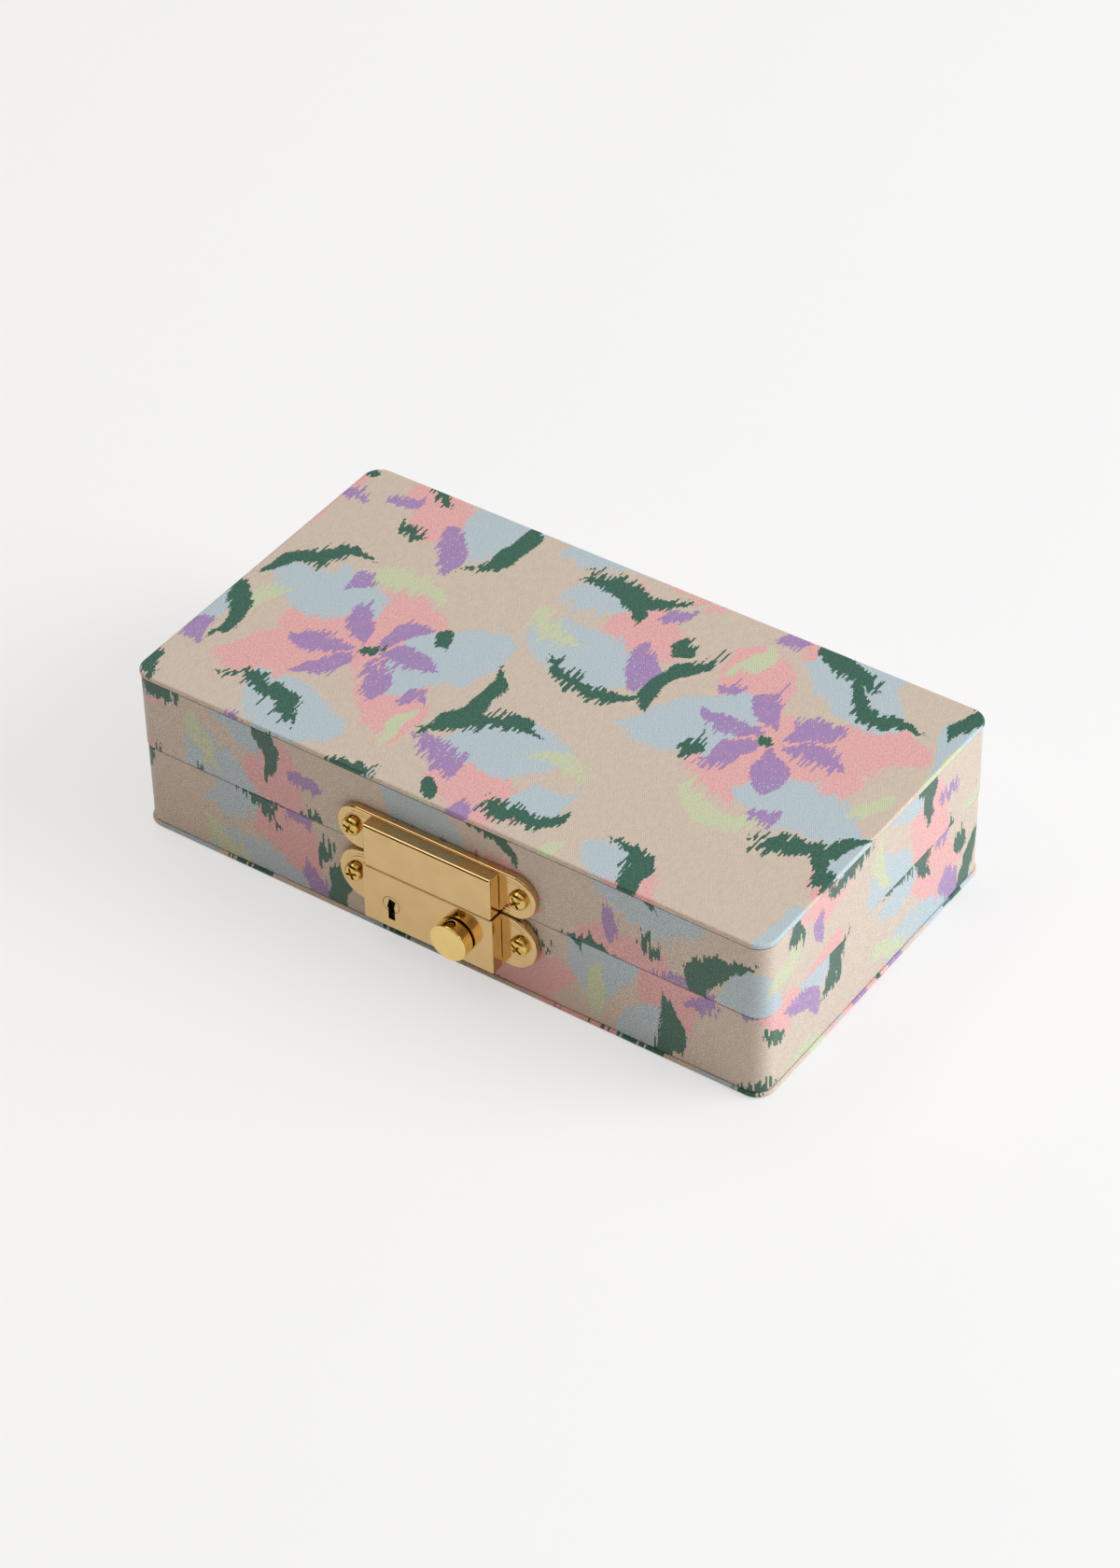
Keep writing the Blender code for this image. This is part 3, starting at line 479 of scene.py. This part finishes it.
def wrapped_walls(name, node, up, start, material, body):
    """A strip of cloth round four walls, with round corners, turned in over one rim."""
    low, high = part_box(node)
    radius = corner_radius - (half_length - high.x)
    piece = start_from(name, low, high)
    pick('EDGE', upright)
    bpy.ops.mesh.bevel(offset=radius, segments=12, affect='EDGES')
    pick('FACE', facing_way((0, 0, up)))
    lip = cloth_thickness + glue_gap + wall_board
    first = radius - rim_softness
    bpy.ops.mesh.inset(thickness=first)
    bpy.ops.mesh.extrude_region()
    shrink = [(side - lip) / (side - first) for side in (high.x, high.y)]
    bpy.ops.transform.resize(value=(*shrink, 1))
    bpy.ops.mesh.delete(type='ONLY_FACE')
    pick('FACE', facing_way((0, 0, -up)))
    bpy.ops.mesh.delete(type='ONLY_FACE')
    pick('EDGE', lambda edge: len(edge.link_faces) == 2
         and sorted(abs(face.normal.z) > 0.9 for face in edge.link_faces) == [False, True])
    bpy.ops.mesh.bevel(offset=rim_softness, segments=3, affect='EDGES')
    bpy.ops.object.mode_set(mode='OBJECT')
    wall = piece.modifiers.new("cloth", 'SOLIDIFY')
    wall.thickness = cloth_thickness
    wall.offset = -1
    wall.use_even_offset = True
    straight = Vector((high.x - radius, high.y - radius))
    bend = radius * math.pi / 2
    front_start = straight.x + bend + 2 * straight.y + bend
    right_start = front_start + 2 * straight.x + bend
    back_start = right_start + 2 * straight.y + bend
    around = back_start + straight.x

    def run(x, y):
        """How far round the box a point is, from the middle of the back by way of the left side."""
        past_x, past_y = abs(x) - straight.x, abs(y) - straight.y
        if past_x > 0 and past_y > 0:
            turn = math.atan2(past_y, past_x) * radius
            if x < 0:
                return straight.x + bend - turn if y > 0 else front_start - bend + turn
            return right_start - turn if y < 0 else back_start - bend + turn
        if high.y - abs(y) < high.x - abs(x):
            if y < 0:
                return front_start + x + straight.x
            return -x if x < 0 else back_start + straight.x - x
        if x < 0:
            return straight.x + bend + straight.y - y
        return right_start + y + straight.y

    def unfold(place, middle):
        """Where a point falls on the flat strip, with each face kept on one side of the joint."""
        base, here = run(middle.x + past_the_middle, middle.y), run(place.x, place.y)
        if abs(here - base) > around / 2:
            here += around if here < base else -around
        inset = max(0, min(high.x - abs(place.x), high.y - abs(place.y)) - cloth_thickness)
        return (here + start[0], place.z + up * inset + start[1])

    lay_cloth(piece, unfold)
    return dress(piece, body, "fabric", material, node)


wall_cloth = woven_cloth("wall_cloth", rib_direction=(0.788, -0.76, -0.616), rib_pitch=0.00042,
                         clearness=0.9)
tray_cloth = wrapped_walls("tray_wall_cloth", "base_cover", up=1, start=(0.080, 0.078),
                           material=wall_cloth, body="box_base")
wall_sides = ("front", "back", "left", "right")

# The strip of cloth round the lid's walls, a second cut of the same jacquard, turned in over
# the rim that closes on the tray.
lid_strip = wrapped_walls("lid_wall_cloth", "lid_cover", up=-1, start=(0.144, 0.150),
                          material=wall_cloth, body="box_lid")

# The cloth on the lid's top board, which is glued on over the strip like the bottom one and
# stands out past the walls all round.
top_cloth = wrapped_board("top_board_cloth", "lid_board_cover", up=1, offset=(0.10, 0.06),
                          material=board_cloth, body="box_lid")

# The boards and walls. Dense grey board, cut and glued edge to edge, closed in by the cloth
# and the lining on every side.
card, tree, shader = new_finish("greyboard", 0.85)
fibre = noise(tree, object_place(tree), (900, 900, 300), 4.0)
fleck = noise(tree, object_place(tree), (3500, 3500, 3500), 1.0)
pulp = blend(tree, graded(tree, fibre, 0.35, 0.65), dye(166, 156, 143), dye(148, 139, 128))
pulp = blend(tree, sums(tree, 'GREATER_THAN', fleck, 0.66), pulp, dye(112, 104, 96))
tree.links.new(pulp, shader.inputs["Base Color"])
rough = add(tree, "Bump", {"Strength": 0.4, "Distance": 0.0001, "Height": fibre})
tree.links.new(rough, shader.inputs["Normal"])


def refinish(material, *names):
    """Give CAD nodes that stay as they are a material of this scene."""
    for name in names:
        frame["nodes"][name].data.materials.clear()
        frame["nodes"][name].data.materials.append(material)


for part in ("base", "lid"):
    refinish(card, f"{part}_board", *(f"{part}_{side}_wall" for side in wall_sides))

# The lining, floor pad and dividers. Short-pile velvet is glued over thin card, and over a thin
# foam on the floor; the dividers stand on the pad and end just under the rim.
velvet, tree, shader = new_finish("velvet", 0.85)
brushed = noise(tree, object_place(tree), (55, 55, 40), 2.0)
pile = noise(tree, object_place(tree), (2600, 2600, 2600), 1.0)
nap = blend(tree, graded(tree, brushed, 0.3, 0.7), dye(205, 174, 166), dye(196, 163, 156))
nap = blend(tree, graded(tree, pile, 0.3, 0.75, 0.0, 0.5), nap, dye(160, 125, 119))
tree.links.new(nap, shader.inputs["Base Color"])
soft = sums(tree, 'ADD', sums(tree, 'MULTIPLY', brushed, 0.5), pile)
nap_relief = add(tree, "Bump", {"Strength": 0.5, "Distance": 0.0002, "Height": soft})
tree.links.new(nap_relief, shader.inputs["Normal"])
tree.links.new(graded(tree, brushed, 0.3, 0.7, 0.78, 0.92), shader.inputs["Roughness"])
shader.inputs["Sheen Weight"].default_value = 0.8
shader.inputs["Sheen Roughness"].default_value = 0.3
lining_card = 0.0012
fold_softness = 0.0004


def soften(piece, width, steps=3, angle=40):
    """Round every edge of a piece that is sharper than an angle."""
    edge = piece.modifiers.new("soft_edges", 'BEVEL')
    edge.width = width
    edge.segments = steps
    edge.limit_method = 'ANGLE'
    edge.angle_limit = math.radians(angle)


def lining(name, node, body):
    """The velvet-covered card that stands inside the walls."""
    low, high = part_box(node)
    piece = start_from(name, low, high)
    pick('EDGE', upright)
    bpy.ops.mesh.bevel(offset=cloth_thickness, segments=3, affect='EDGES')
    for way in (1, -1):
        pick('FACE', facing_way((0, 0, way)))
        bpy.ops.mesh.delete(type='ONLY_FACE')
    bpy.ops.object.mode_set(mode='OBJECT')
    wall = piece.modifiers.new("card", 'SOLIDIFY')
    wall.thickness = lining_card
    wall.offset = -1
    wall.use_even_offset = True
    soften(piece, fold_softness)
    return dress(piece, body, "velvet", velvet, node)


lining("tray_lining", "base_lining", "box_base")
lining("lid_lining_velvet", "lid_lining", "box_lid")
for node in ("divider_main", "divider_long", "divider_short"):
    divider = start_from(node + "_velvet", *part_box(node))
    bpy.ops.object.mode_set(mode='OBJECT')
    soften(divider, width=0.0008, steps=4)
    dress(divider, "box_base", "velvet", velvet, node)
floor_pad = start_from("floor_pad_velvet", *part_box("base_floor_pad"))
bpy.ops.object.mode_set(mode='OBJECT')
soften(floor_pad, width=0.0006, steps=3)
dress(floor_pad, "box_base", "velvet", velvet, "base_floor_pad")

# The ring rolls and the lid's panel. Foam wrapped in the same velvet: six rolls lie side by side
# so that rings push in between them, and a crowned panel is glued under the lid.
swell_frames = 20
roll_crown = 0.48
panel_corner = 0.0040
panel_edge = 0.0026
glued_band = 0.0010


def plump(piece, voxel, pressure, most, held=None):
    """Swell a padded piece by cloth simulation, no further than a limit, and smooth it."""
    apply_all(piece)
    remesh = piece.modifiers.new("remesh", 'REMESH')
    remesh.mode = 'VOXEL'
    remesh.voxel_size = voxel
    apply_all(piece)
    scene = bpy.context.scene
    rest = [vert.co.copy() for vert in piece.data.vertices]
    cloth = piece.modifiers.new("swell", 'CLOTH')
    cloth.settings.use_pressure = True
    cloth.settings.uniform_pressure_force = pressure
    cloth.settings.effector_weights.gravity = 0
    cloth.settings.quality = 6
    cloth.collision_settings.use_collision = False
    if held:
        group = piece.vertex_groups.new(name="held")
        group.add([vert.index for vert in piece.data.vertices if held(vert.co)], 1.0, 'REPLACE')
        cloth.settings.vertex_group_mass = "held"
    for step in range(1, swell_frames + 1):
        scene.frame_set(step)
    swollen = piece.evaluated_get(bpy.context.evaluated_depsgraph_get())
    moved = [vert.co.copy() for vert in swollen.data.vertices]
    piece.modifiers.remove(cloth)
    scene.frame_set(1)
    far = max((b - a).length for a, b in zip(rest, moved))
    for vert, start, end in zip(piece.data.vertices, rest, moved):
        vert.co = start + (end - start) * min(1, most / far)
    smooth = piece.modifiers.new("smooth", 'SUBSURF')
    smooth.levels = smooth.render_levels = 1
    apply_all(piece)


low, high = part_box("ring_roll_1")
width = high.x - low.x
first_roll = start_from("ring_roll_velvet_1", low, high)
pick('EDGE', lambda edge: all(abs(vert.co.z - high.z) < touching for vert in edge.verts)
     and abs(edge.verts[0].co.y - edge.verts[1].co.y) > width)
bpy.ops.mesh.bevel(offset=width * roll_crown, segments=8, affect='EDGES')
plump(first_roll, voxel=0.0012, pressure=4.0, most=0.0004)
for number in range(2, 7):
    bpy.ops.object.select_all(action='DESELECT')
    first_roll.select_set(True)
    bpy.context.view_layer.objects.active = first_roll
    bpy.ops.object.duplicate()
    roll = bpy.context.object
    roll.name = f"ring_roll_velvet_{number}"
    roll.location.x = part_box(f"ring_roll_{number}")[0].x - low.x
    bpy.ops.object.transform_apply()
    dress(roll, "box_base", "velvet", velvet, f"ring_roll_{number}", smooth=60)
dress(first_roll, "box_base", "velvet", velvet, "ring_roll_1", smooth=60)

low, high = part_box("lid_pad")
panel = start_from("lid_panel_velvet", low, high)
pick('EDGE', upright)
bpy.ops.mesh.bevel(offset=panel_corner, segments=6, affect='EDGES')
pick('EDGE', round_of((0, 0, -1), low.z))
bpy.ops.mesh.bevel(offset=panel_edge, segments=5, affect='EDGES')
plump(panel, voxel=0.0030, pressure=4.0, most=0.0014,
      held=lambda place: place.z > high.z - glued_band)
dress(panel, "box_lid", "velvet", velvet, "lid_pad", smooth=60)

# The lock's two plates. Cast, polished and gold plated, each with half-round ends, a soft rim and
# two faint steps that run round inside it. A hair's breadth stays open under what stands on them.
gold, tree, shader = new_finish("polished_gold", 0.1, 1.0)
worn = noise(tree, object_place(tree), (160, 160, 160), 4.0)
brush = noise(tree, object_place(tree), (900, 900, 9000), 2.0)
plating = blend(tree, graded(tree, worn, 0.3, 0.75), dye(215, 183, 130), dye(210, 177, 124))
tree.links.new(plating, shader.inputs["Base Color"])
haze = sums(tree, 'ADD', graded(tree, worn, 0.3, 0.75, 0.10, 0.14),
            sums(tree, 'MULTIPLY', brush, 0.04))
tree.links.new(haze, shader.inputs["Roughness"])
lines = add(tree, "Bump", {"Strength": 0.05, "Distance": 0.00002, "Height": brush})
tree.links.new(lines, shader.inputs["Normal"])
plate_thickness = 0.0022
plate_rim = 0.0006
plate_ledge = 0.0007
plate_slope = 0.0003
plate_step = 0.00008
plate_gap = 0.0003
plate_field = plate_gap + 2 * plate_step
seat_line = 0.0002


def rod(name, place, radius, length, along=(0, 0, 1), sides=64):
    """A plain round bar, alone selected, round a middle point and along a direction."""
    bpy.ops.object.select_all(action='DESELECT')
    turn = Vector(along).to_track_quat('Z', 'Y').to_euler()
    bpy.ops.mesh.primitive_cylinder_add(vertices=sides, radius=radius, depth=length, location=place,
                                        rotation=turn)
    bpy.context.object.name = name
    bpy.ops.object.transform_apply()
    return bpy.context.object


def lock_plate(name, node, body):
    """One plate: a disc drawn out into a bar with round ends, rounded and stepped in front."""
    low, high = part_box(node)
    radius = (high.z - low.z) / 2
    middle = ((low.x + high.x) / 2, high.y - plate_thickness / 2, low.z + radius)
    piece = rod(name, middle, radius, plate_thickness, (0, 1, 0), 96)
    bpy.ops.object.mode_set(mode='EDIT')
    for side in (-1, 1):
        pick('VERT', lambda vert: side * (vert.co.x - middle[0]) > touching)
        bpy.ops.transform.translate(value=(side * ((high.x - low.x) / 2 - radius), 0, 0))
    front = high.y - plate_thickness
    pick('EDGE', round_of((0, -1, 0), front, axis=1))
    bpy.ops.mesh.bevel(offset=plate_rim, segments=5, affect='EDGES')
    pick('FACE', facing_way((0, -1, 0)))
    for width, step in ((plate_ledge, 0), (plate_slope, -plate_step)) * 2:
        bpy.ops.mesh.inset(thickness=width, depth=step)
    return dress(piece, body, "polished_gold", gold, node, smooth=12)


lock_plate("lower_lock_plate", "lower_plate", "box_base")
lock_plate("upper_lock_plate", "upper_plate", "box_lid")

# The four plate screws. Round-head brass screws with a cross recess, driven into the front walls
# and left at the angle where they came tight.
screw_brass, tree, shader = new_finish("screw_brass", 0.12, 1.0)
tarnish = noise(tree, object_place(tree), (700, 700, 700), 3.0)
head_tone = blend(tree, graded(tree, tarnish, 0.35, 0.7), dye(224, 194, 112), dye(202, 168, 88))
tree.links.new(head_tone, shader.inputs["Base Color"])
tree.links.new(graded(tree, tarnish, 0.3, 0.7, 0.07, 0.16), shader.inputs["Roughness"])
pits = add(tree, "Bump", {"Strength": 0.15, "Distance": 0.00005, "Height": tarnish})
tree.links.new(pits, shader.inputs["Normal"])
screw_angles = {"upper_plate_left_screw": 24, "upper_plate_right_screw": 58,
                "lower_plate_left_screw": 71, "lower_plate_right_screw": 37}
head_height = 0.0019
dome_share = 0.92
cut_softness = 0.00008
shank_radius = 0.0012
cross_arm = (0.00085, 0.0026, 0.0040)


def cut(piece, tool):
    """Take the shape of a tool out of a piece."""
    if tool.mode == 'EDIT':
        bpy.ops.object.mode_set(mode='OBJECT')
    taken = piece.modifiers.new("cut", 'BOOLEAN')
    taken.object = tool
    taken.solver = 'EXACT'
    bpy.ops.object.select_all(action='DESELECT')
    piece.select_set(True)
    apply_all(piece)
    bpy.data.objects.remove(tool)


def turned_bar(place, turn, size):
    """A bar for cutting a slot, turned clockwise by some degrees as seen from the front."""
    bpy.ops.mesh.primitive_cube_add(size=1, location=place, rotation=(0, math.radians(turn), 0),
                                    scale=size)
    bpy.ops.object.transform_apply()
    return bpy.context.object


for node, angle in screw_angles.items():
    low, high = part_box(node)
    head_radius = (high.x - low.x) / 2
    seat = low.y + head_height + plate_field
    centre = Vector(((low.x + high.x) / 2, 0, (low.z + high.z) / 2))
    screw = rod(node + "_head", (centre.x, (low.y + seat) / 2, centre.z), head_radius, seat - low.y,
                (0, 1, 0), 48)
    bpy.ops.object.mode_set(mode='EDIT')
    pick('EDGE', round_of((0, -1, 0), low.y, axis=1))
    bpy.ops.mesh.bevel(offset=head_height * dome_share, segments=7, affect='EDGES')
    pick('FACE', facing_way((0, 1, 0)))
    bpy.ops.mesh.inset(thickness=head_radius - shank_radius)
    bpy.ops.mesh.extrude_region_move(TRANSFORM_OT_translate={"value": (0, high.y - seat, 0)})
    bpy.ops.object.mode_set(mode='OBJECT')
    for turn in (angle, angle + 90):
        cut(screw, turned_bar((centre.x, low.y, centre.z), turn, cross_arm))
    soften(screw, cut_softness, 2, 50)
    body = "box_lid" if node.startswith("upper") else "box_base"
    dress(screw, body, "polished_gold", screw_brass, node, smooth=35)

# The block on the lid. A solid polished bar with a chamfer along its front edges, recessed at the
# back and below for the root of the catch tongue.
block_chamfer = 0.0005
block_softness = 0.00024
overrun = 0.001
low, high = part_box("upper_block")
high.y += plate_field - seat_line
block = start_from("lock_block", low, high)
pick('EDGE', lambda edge: all(abs(vert.co.y - low.y) < touching for vert in edge.verts)
     and not all(abs(vert.co.z - low.z) < touching for vert in edge.verts))
bpy.ops.mesh.bevel(offset=block_chamfer, segments=1, affect='EDGES')
bpy.ops.object.mode_set(mode='OBJECT')
root_low, root_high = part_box("catch_tongue")
recess = start_from("recess", (root_low.x - plate_gap, root_low.y - plate_gap, low.z - overrun),
                    (root_high.x + plate_gap, high.y + overrun, root_high.z + plate_gap))
cut(block, recess)
soften(block, block_softness, 4, 30)
dress(block, "box_lid", "polished_gold", gold, "upper_block", smooth=25)

# The lock case on the tray. A cast shell with openings for the key plug, the key's bit, the knob's
# stem and, in its top, the catch tongue; its inside is painted near black as shade.
case_wall = 0.0009
plug_axis = Vector(next(joint["pos_m"] for joint in frame["joints"] if joint["name"] == "key_turn"))
plug_radius = 0.00282
plug_clearance = 0.00014
keyway_width = 0.0023
keyway_foot = 0.0057
keyway_head = 0.0020
slot_radius = 0.00205
case_drop = 0.0008
case_edge = 0.00035
front_skin = 0.0004
gate_left = -0.0013
gate_narrowing = 0.0027
gate_depth = 0.002
gate_skin = 0.0001


def metal(name, scale, detail, first, second, smoothest, roughest, metallic=1.0, relief=0.0):
    """A metal whose colour and roughness drift together with one noise, and may be pitted by it."""
    material, tree, shader = new_finish(name, smoothest, metallic)
    drift = noise(tree, object_place(tree), scale, detail)
    tree.links.new(blend(tree, drift, first, second), shader.inputs["Base Color"])
    tree.links.new(graded(tree, drift, 0.3, 0.7, smoothest, roughest), shader.inputs["Roughness"])
    if relief:
        pits = add(tree, "Bump", {"Strength": relief, "Distance": 0.00005, "Height": drift})
        tree.links.new(pits, shader.inputs["Normal"])
    return material


# A near-black painted shade for the hollows inside the lock case and the key plug's slot.
painted_hollow_shade = metal("painted_hollow_shade", (1500, 1500, 1500), 3.0, dye(14, 11, 8), dye(30, 24, 17), 0.5, 0.7,
                    metallic=0.3)
low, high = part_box("lock_case")
high.y += plate_field - seat_line
low.z -= case_drop
case = start_from("lock_case_shell", low, high)
pick('FACE', facing_way((0, 1, 0)))
bpy.ops.mesh.inset(thickness=case_wall)
depth = high.y - low.y - case_wall
bpy.ops.mesh.extrude_region_move(TRANSFORM_OT_translate={"value": (0, -depth, 0)})
pick('EDGE', lambda edge: all(abs(vert.co.y - low.y) < touching for vert in edge.verts))
bpy.ops.mesh.bevel(offset=case_edge, segments=4, affect='EDGES')
bpy.ops.object.mode_set(mode='OBJECT')
middle_y = low.y + case_wall / 2
cut(case, rod("bore", (plug_axis.x, middle_y, plug_axis.z), plug_radius + plug_clearance,
              case_wall * 2, (0, 1, 0)))
key_left = plug_axis.x - keyway_width / 2
key_right = plug_axis.x + keyway_width / 2
keyway = start_from("keyway", (key_left, low.y - overrun, plug_axis.z - keyway_foot),
                    (key_right, low.y + case_wall * 1.5, plug_axis.z - keyway_head))
cut(case, keyway)
knob_reach = 0.0005
knob_low, knob_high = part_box("lock_knob")
knob_high.y += knob_reach
knob_middle = (knob_low + knob_high) / 2
travel = next(joint["range_m"][1] for joint in frame["joints"] if joint["name"] == "knob_slide")
slot = rod("stem_slot", (knob_middle.x, middle_y, knob_middle.z), slot_radius, case_wall * 2,
           (0, 1, 0))
bpy.ops.object.mode_set(mode='EDIT')
pick('VERT', lambda vert: vert.co.x > knob_middle.x + touching)
bpy.ops.transform.translate(value=(travel, 0, 0))
cut(case, slot)
gate = start_from("gate", (gate_left, root_low.y - plate_gap, high.z - gate_depth),
                  (root_high.x - gate_narrowing, high.y - gate_skin, high.z + overrun))
cut(case, gate)
soften(case, cut_softness, 2, 30)
dress(case, "box_base", "polished_gold", gold, "lock_case", smooth=25)
# The painted shade goes on the faces inside the case, behind its front skin.
case.data.materials.append(painted_hollow_shade)
for face in case.data.polygons:
    inside = (low.x + case_wall / 2 < face.center.x < high.x - case_wall / 2
              and low.z + case_wall / 2 < face.center.z < high.z - case_wall / 2)
    if inside and face.center.y > low.y + front_skin:
        face.material_index = 1

# The key plug. A turned brass barrel, flush with the case, with a deep slot for the key that
# opens into a notch in its rim for the key's bit.
key_slot = (keyway_width, 0.0036, 0.0037)
key_slot_turn = 15
notch_foot = 0.0040
notch_head = 0.0013
notch_depth = 0.0018
slot_lip = 0.0002
low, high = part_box("key_plug")
plug = rod("key_plug_barrel", (plug_axis.x, (low.y + high.y) / 2, plug_axis.z), plug_radius,
           high.y - low.y, (0, 1, 0))
cut(plug, turned_bar((plug_axis.x, low.y, plug_axis.z), key_slot_turn, key_slot))
notch = start_from("notch", (key_left, low.y - overrun, plug_axis.z - notch_foot),
                   (key_right, low.y + notch_depth, plug_axis.z - notch_head))
cut(plug, notch)
soften(plug, cut_softness, 2, 40)
dress(plug, "key_barrel", "polished_gold", gold, "key_plug", smooth=30)
# The painted shade goes on the faces inside the key slot.
plug.data.materials.append(painted_hollow_shade)
for face in plug.data.polygons:
    off_axis = (face.center - plug_axis).xz
    if face.center.y > low.y + slot_lip and off_axis.length < plug_radius * 0.97:
        face.material_index = 1

# The knob, its set screw and the bolt. A turned disc is held on the bolt's stem by a small socket
# screw in its rim; the bolt is a greased steel plate, and the tongue and spring are bare steel.
knob_gold = metal("knob_gold", (300, 4000, 300), 2.0, dye(238, 210, 136), dye(232, 202, 128), 0.10, 0.18)
knob_chamfer = 0.0004
socket_radius = 0.0015
bore_length = 0.0060
hexagon_radius = 0.0006
hexagon_length = 0.0020
small_softness = 0.00006
knob_radius = (knob_high.x - knob_low.x) / 2
knob = rod("sliding_knob", knob_middle, knob_radius, knob_high.y - knob_low.y, (0, 1, 0), 96)
bpy.ops.object.mode_set(mode='EDIT')
for way, level in ((-1, knob_low.y), (1, knob_high.y)):
    pick('EDGE', round_of((0, way, 0), level, axis=1))
    bpy.ops.mesh.bevel(offset=knob_chamfer, segments=3, affect='EDGES')
bpy.ops.object.mode_set(mode='OBJECT')
knob_top = knob_middle + Vector((0, 0, knob_radius))
cut(knob, rod("socket", knob_top, socket_radius, knob_radius, (0, 0, 1), 32))
cut(knob, rod("stem_bore", (knob_middle.x, knob_high.y, knob_middle.z), slot_radius, bore_length,
              (0, 1, 0), 32))
soften(knob, small_softness, 2, 40)
dress(knob, "lock_slide", "polished_gold", knob_gold, "lock_knob", smooth=30)
low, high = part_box("knob_set_screw")
set_screw = rod("knob_socket_screw", (low + high) / 2, (high.x - low.x) / 2, high.z - low.z,
                (0, 0, 1), 32)
cut(set_screw, rod("hexagon", (knob_middle.x, knob_middle.y, high.z), hexagon_radius, hexagon_length,
                   (0, 0, 1), 6))
soften(set_screw, small_softness, 2, 40)
dress(set_screw, "lock_slide", "polished_gold", screw_brass, "knob_set_screw", smooth=30)

steel = metal("stamped_steel", (400, 400, 4000), 3.0, dye(186, 186, 184), dye(158, 157, 154), 0.24, 0.42)
refinish(steel, "catch_tongue", "detent_spring")
greased_steel = metal("greased_steel", (800, 800, 800), 3.0, dye(46, 42, 38), dye(66, 61, 55), 0.42, 0.60,
                      metallic=0.7)
refinish(greased_steel, "lock_bolt")

# The hinges. Two brass leaves on each side roll round a steel pin, and heels on the lower leaves
# stop the lid a little past upright; small slotted screws hold them to the back walls.
hinge_brass = metal("hinge_brass", (350, 350, 350), 4.0, dye(214, 182, 112), dye(190, 154, 86), 0.18, 0.34,
                    relief=0.1)
leaf_softness = 0.00012
pin_softness = 0.00010
small_head = 0.0009
small_dome = 0.0006
small_shank = 0.0008
small_slot = (0.00045, 0.0009, 0.005)
slot_softness = 0.00005


def finer_copy(name, node, body, slot, material, width):
    """A copy of a CAD node with its faces merged and its edges softened."""
    bpy.ops.object.select_all(action='DESELECT')
    piece = bpy.data.objects.new(name, frame["nodes"][node].data.copy())
    bpy.context.scene.collection.objects.link(piece)
    bpy.context.view_layer.objects.active = piece
    piece.select_set(True)
    bpy.ops.object.mode_set(mode='EDIT')
    bpy.ops.mesh.select_all(action='SELECT')
    bpy.ops.mesh.remove_doubles(threshold=0.00001)
    bpy.ops.mesh.dissolve_limited(angle_limit=math.radians(1))
    bpy.ops.object.mode_set(mode='OBJECT')
    soften(piece, width, 2, 40)
    return dress(piece, body, slot, material, node, smooth=35)


for side in ("left", "right"):
    finer_copy(f"{side}_lower_leaf", f"{side}_hinge_base_leaf", "box_base", "brass", hinge_brass,
               leaf_softness)
    finer_copy(f"{side}_upper_leaf", f"{side}_hinge_lid_leaf", "box_lid", "brass", hinge_brass,
               leaf_softness)
    finer_copy(f"{side}_pin", f"{side}_hinge_pin", "box_base", "steel", steel, pin_softness)
    for part, body in (("base", "box_base"), ("lid", "box_lid")):
        for number in (1, 2):
            node = f"{side}_hinge_{part}_screw_{number}"
            low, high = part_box(node)
            centre = (low + high) / 2
            radius = (high.x - low.x) / 2
            screw = rod(node + "_head", (centre.x, high.y - small_head / 2, centre.z), radius,
                        small_head, (0, 1, 0), 32)
            bpy.ops.object.mode_set(mode='EDIT')
            pick('EDGE', round_of((0, 1, 0), high.y, axis=1))
            bpy.ops.mesh.bevel(offset=small_dome, segments=4, affect='EDGES')
            pick('FACE', facing_way((0, -1, 0)))
            bpy.ops.mesh.inset(thickness=radius - small_shank)
            bpy.ops.mesh.extrude_region_move(
                TRANSFORM_OT_translate={"value": (0, low.y + small_head - high.y, 0)})
            bpy.ops.object.mode_set(mode='OBJECT')
            turn = 25 + 47 * number + 30 * (part == "lid")
            cut(screw, turned_bar((centre.x, high.y, centre.z), turn, small_slot))
            soften(screw, slot_softness, 2, 50)
            dress(screw, body, "brass", hinge_brass, node, smooth=35)
